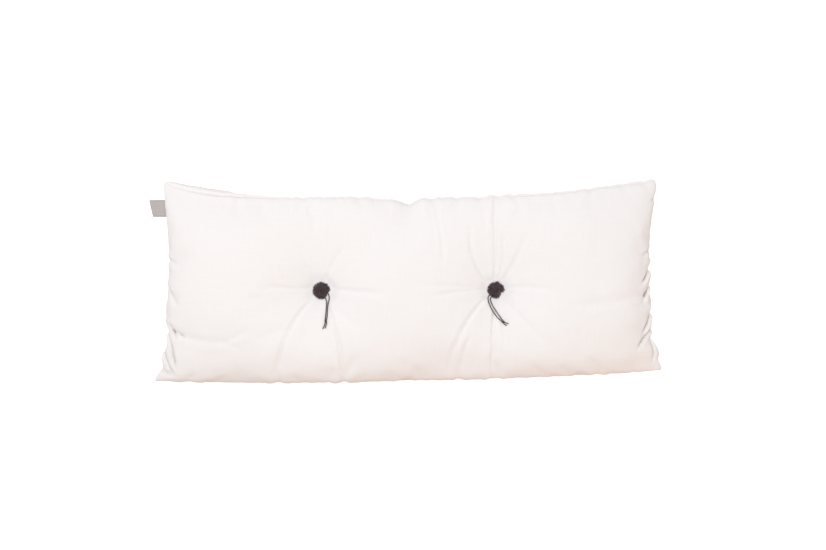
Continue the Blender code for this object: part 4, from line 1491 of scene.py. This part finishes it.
def makeLabel():
    outside, inside = tape["layer"] + tape["gap"] / 2, tape["gap"] / 2
    points, uvs = [], []
    for i in range(tape["rows"] + 1):
        share = i / tape["rows"]
        y = tape["top"] + (tape["bottom"] - tape["top"]) * share + shift.y
        hit = clothTree.ray_cast(Vector((-1.0, y, tape["seamZ"])), Vector((1, 0, 0)))[0]
        start = hit.x + tape["tuck"]
        fold = tape["endX"] + shift.x + tape["shear"] * share + outside
        flats = np.linspace(start, fold, tape["flats"])
        bends = np.linspace(0.5, 1.5, tape["bends"] + 1)[1:-1] * math.pi
        outer = [(x, outside) for x in flats]
        outer += [(fold + outside * math.cos(a), outside * math.sin(a)) for a in bends]
        outer += [(x, -outside) for x in flats[::-1]]
        inner = [(x, -inside) for x in flats]
        inner += [(fold + inside * math.cos(a), inside * math.sin(a)) for a in bends[::-1]]
        inner += [(x, inside) for x in flats[::-1]]
        run = np.concatenate([[0.0], np.cumsum(np.linalg.norm(np.diff(outer, axis=0), axis=1))])
        for (x, z), along in zip(outer + inner, [*run, *run[::-1]]):
            out = (start - x) / tape["reach"]
            sag = tape["droop"] * out**2
            curl = tape["curl"] * out * math.sin(tape["curlTurn"] * share - tape["curlStart"])
            curl += tape["ripple"] * math.sin(tape["rippleTurn"] * share) * out
            points.append((x, y, tape["seamZ"] + z - sag + curl))
            uvs.append((share * tape["flat"][0], along))
    size = len(points) // (tape["rows"] + 1)
    faces = [
        (a * size + k, (a + 1) * size + k, (a + 1) * size + (k + 1) % size, a * size + (k + 1) % size)
        for a in range(tape["rows"])
        for k in range(size)
    ]
    half = size // 2
    for a, order in ((0, 1), (tape["rows"], -1)):
        for k in range(half - 1):
            cell = (a * size + k, a * size + k + 1, a * size + size - 2 - k, a * size + size - 1 - k)
            faces.append(cell[::order])
    mesh = bpy.data.meshes.new("sideLabel")
    mesh.from_pydata(points, [], faces)
    writeUvs(mesh, "tape", uvs)
    mesh.shade_smooth()
    label = addPiece("sideLabel", mesh, makeRibbonFinish())
    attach(label, "root")
    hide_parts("label")


makeLabel()
print("label made")


# Seam: short ladder stitches down in the groove where the two panels meet
def makeStitchTree(thread):
    group, given, out = newGroup(
        "seamStitches",
        "GeometryNodeTree",
        {
            "Seam": "Geometry",
            "Pitch": "Float",
            "Length": "Float",
            "Thread": "Float",
            "Lean": "Float",
            "Seed": "Int",
        },
        {"Stitches": "Geometry"},
    )
    spots = addNode(
        group,
        "GeometryNodeCurveToPoints",
        {"Curve": given["Seam"], "Length": given["Pitch"]},
        mode="LENGTH",
    )
    half = calc(group, "MULTIPLY", given["Length"], 0.5)
    start = addNode(group, "ShaderNodeCombineXYZ", {"X": calc(group, "MULTIPLY", half, -1.0)})
    end = addNode(group, "ShaderNodeCombineXYZ", {"X": half})
    rise = calc(group, "MULTIPLY", given["Thread"], stitching["rise"])
    rise = addNode(group, "ShaderNodeCombineXYZ", {"Y": rise})
    bar = addNode(
        group,
        "GeometryNodeCurveQuadraticBezier",
        {"Resolution": 4, "Start": start.outputs[0], "Middle": rise.outputs[0], "End": end.outputs[0]},
    )
    ring = addNode(
        group,
        "GeometryNodeCurvePrimitiveCircle",
        {"Resolution": 5, "Radius": calc(group, "MULTIPLY", given["Thread"], 0.5)},
    )
    loop = addNode(
        group,
        "GeometryNodeCurveToMesh",
        {"Curve": bar.outputs[0], "Profile Curve": ring.outputs[0], "Fill Caps": True},
    )
    least, most = stitching["leanSpread"]
    spread = {2: least, 3: most, "Seed": given["Seed"]}
    lean = addNode(group, "FunctionNodeRandomValue", spread, data_type="FLOAT")
    slant = calc(group, "RADIANS", calc(group, "MULTIPLY", lean.outputs[1], given["Lean"]))
    turned = addNode(
        group,
        "FunctionNodeRotateRotation",
        {"Rotation": spots.outputs["Rotation"]},
        rotation_space="LOCAL",
    )
    tilt = addNode(group, "ShaderNodeCombineXYZ", {"Y": slant})
    feed(group, turned.inputs["Rotate By"], tilt.outputs[0])
    sewn = addNode(
        group,
        "GeometryNodeInstanceOnPoints",
        {"Points": spots.outputs[0], "Instance": loop.outputs[0], "Rotation": turned.outputs[0]},
    )
    real = addNode(group, "GeometryNodeRealizeInstances", {"Geometry": sewn.outputs[0]})
    smooth = addNode(group, "GeometryNodeSetShadeSmooth", {"Geometry": real.outputs[0]})
    parts = {"Geometry": smooth.outputs[0], "Material": thread}
    feed(group, out["Stitches"], addNode(group, "GeometryNodeSetMaterial", parts).outputs[0])
    return group


sewingThread = {
    "colour": (0.82, 0.79, 0.76),
    "surface": {"Roughness": 0.6},
    "fineness": 6000.0,
    "lie": 1.0,
    "dull": (0.74, 0.70, 0.66),
    "bright": (0.88, 0.86, 0.83),
    "depth": 0.00008,
    "strength": 0.7,
}


def makeThreadFinish():
    material, tree, shader = newMaterial("sewingThread", sewingThread)
    place = addNode(tree, "ShaderNodeTexCoord").outputs["Object"]
    lint = fibresOf(tree, sewingThread, place)
    colour = blendColours(tree, lint["Shade"], sewingThread["dull"], sewingThread["bright"])
    finishWith(tree, shader, sewingThread, colour, lint["Height"])
    return material


def makeSeamStitches():
    thread = makeThreadFinish()
    curve = bpy.data.curves.new("seamStitches", "CURVE")
    curve.dimensions = "3D"
    curve.twist_mode = "Z_UP"
    for line in seamLines:
        spline = curve.splines.new("POLY")
        spline.points.add(len(line) - 1)
        spline.points.foreach_set("co", np.column_stack([line, np.ones(len(line))]).ravel())
    piece = addPiece("seamStitches", curve, thread)
    sizes = {name.title(): stitching[name] for name in ("pitch", "length", "thread", "lean", "seed")}
    piece = runNodes(piece, makeStitchTree(thread), sizes)
    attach(piece, "root")
    print("seam stitched:", len(piece.data.polygons), "faces")


makeSeamStitches()


# Floor, light and view
studio = {
    "floorSize": 60.0,
    "floorDrop": 0.0006,
    "aim": (0.0, 0.0, 0.04),
    "lightWay": (-0.25, 0.48, 0.84),  # the bright side of the sky
    "skyColour": (1.0, 0.98, 0.98),
    "lowColour": (0.52, 0.30, 0.17),
    "skyRange": (-0.34, 0.17),
    "skyStrength": 0.85,
}
paleFloor = {
    "colour": (0.93, 0.93, 0.93),
    "surface": {
        "Roughness": 0.9,
        "Emission Color": (1.0, 1.0, 1.0, 1.0),
        "Emission Strength": 0.55,
    },
}
lights = {
    # place, size, power, colour
    "keyLight": ((-0.45, 0.62, 2.9), 1.0, 27.5, (1.0, 0.985, 0.97)),
    "warmFill": ((0.9, -1.6, 0.12), 0.9, 5.5, (1.0, 0.55, 0.30)),
}


def makeFloor():
    half = studio["floorSize"] / 2
    mesh = bpy.data.meshes.new("studioFloor")
    plan = ((-half, -half), (half, -half), (half, half), (-half, half))
    mesh.from_pydata([(*corner, -studio["floorDrop"]) for corner in plan], [], [(0, 1, 2, 3)])
    floor = addPiece("studioFloor", mesh, newMaterial("paleFloor", paleFloor)[0])
    floor.visible_diffuse = False  # the cover's low sides take the warm sky instead


def addLight(name, place, size, power, colour):
    data = bpy.data.lights.new(name, "AREA")
    data.shape, data.size, data.energy, data.color = "DISK", size, power, colour
    light = bpy.data.objects.new(name, data)
    light.location = place
    way = Vector(studio["aim"]) - light.location
    light.rotation_euler = way.to_track_quat("-Z", "Y").to_euler()
    scene.collection.objects.link(light)


def makeSky():
    world = bpy.data.worlds.new("softSky")
    world.use_nodes = True
    tree = world.node_tree
    ground = tree.nodes["Background"]
    way = addNode(tree, "ShaderNodeTexCoord").outputs["Generated"]
    bright = addNode(
        tree, "ShaderNodeVectorMath", {0: way, 1: studio["lightWay"]}, operation="DOT_PRODUCT"
    )
    share = rampBetween(tree, bright.outputs["Value"], *studio["skyRange"])
    colour = blendColours(tree, share, studio["lowColour"], studio["skyColour"])
    tree.links.new(colour, ground.inputs["Color"])
    ground.inputs["Strength"].default_value = studio["skyStrength"]
    scene.world = world


makeFloor()
for name, settings in lights.items():
    addLight(name, *settings)
makeSky()
scene.view_settings.view_transform = "Standard"
print("studio lit")
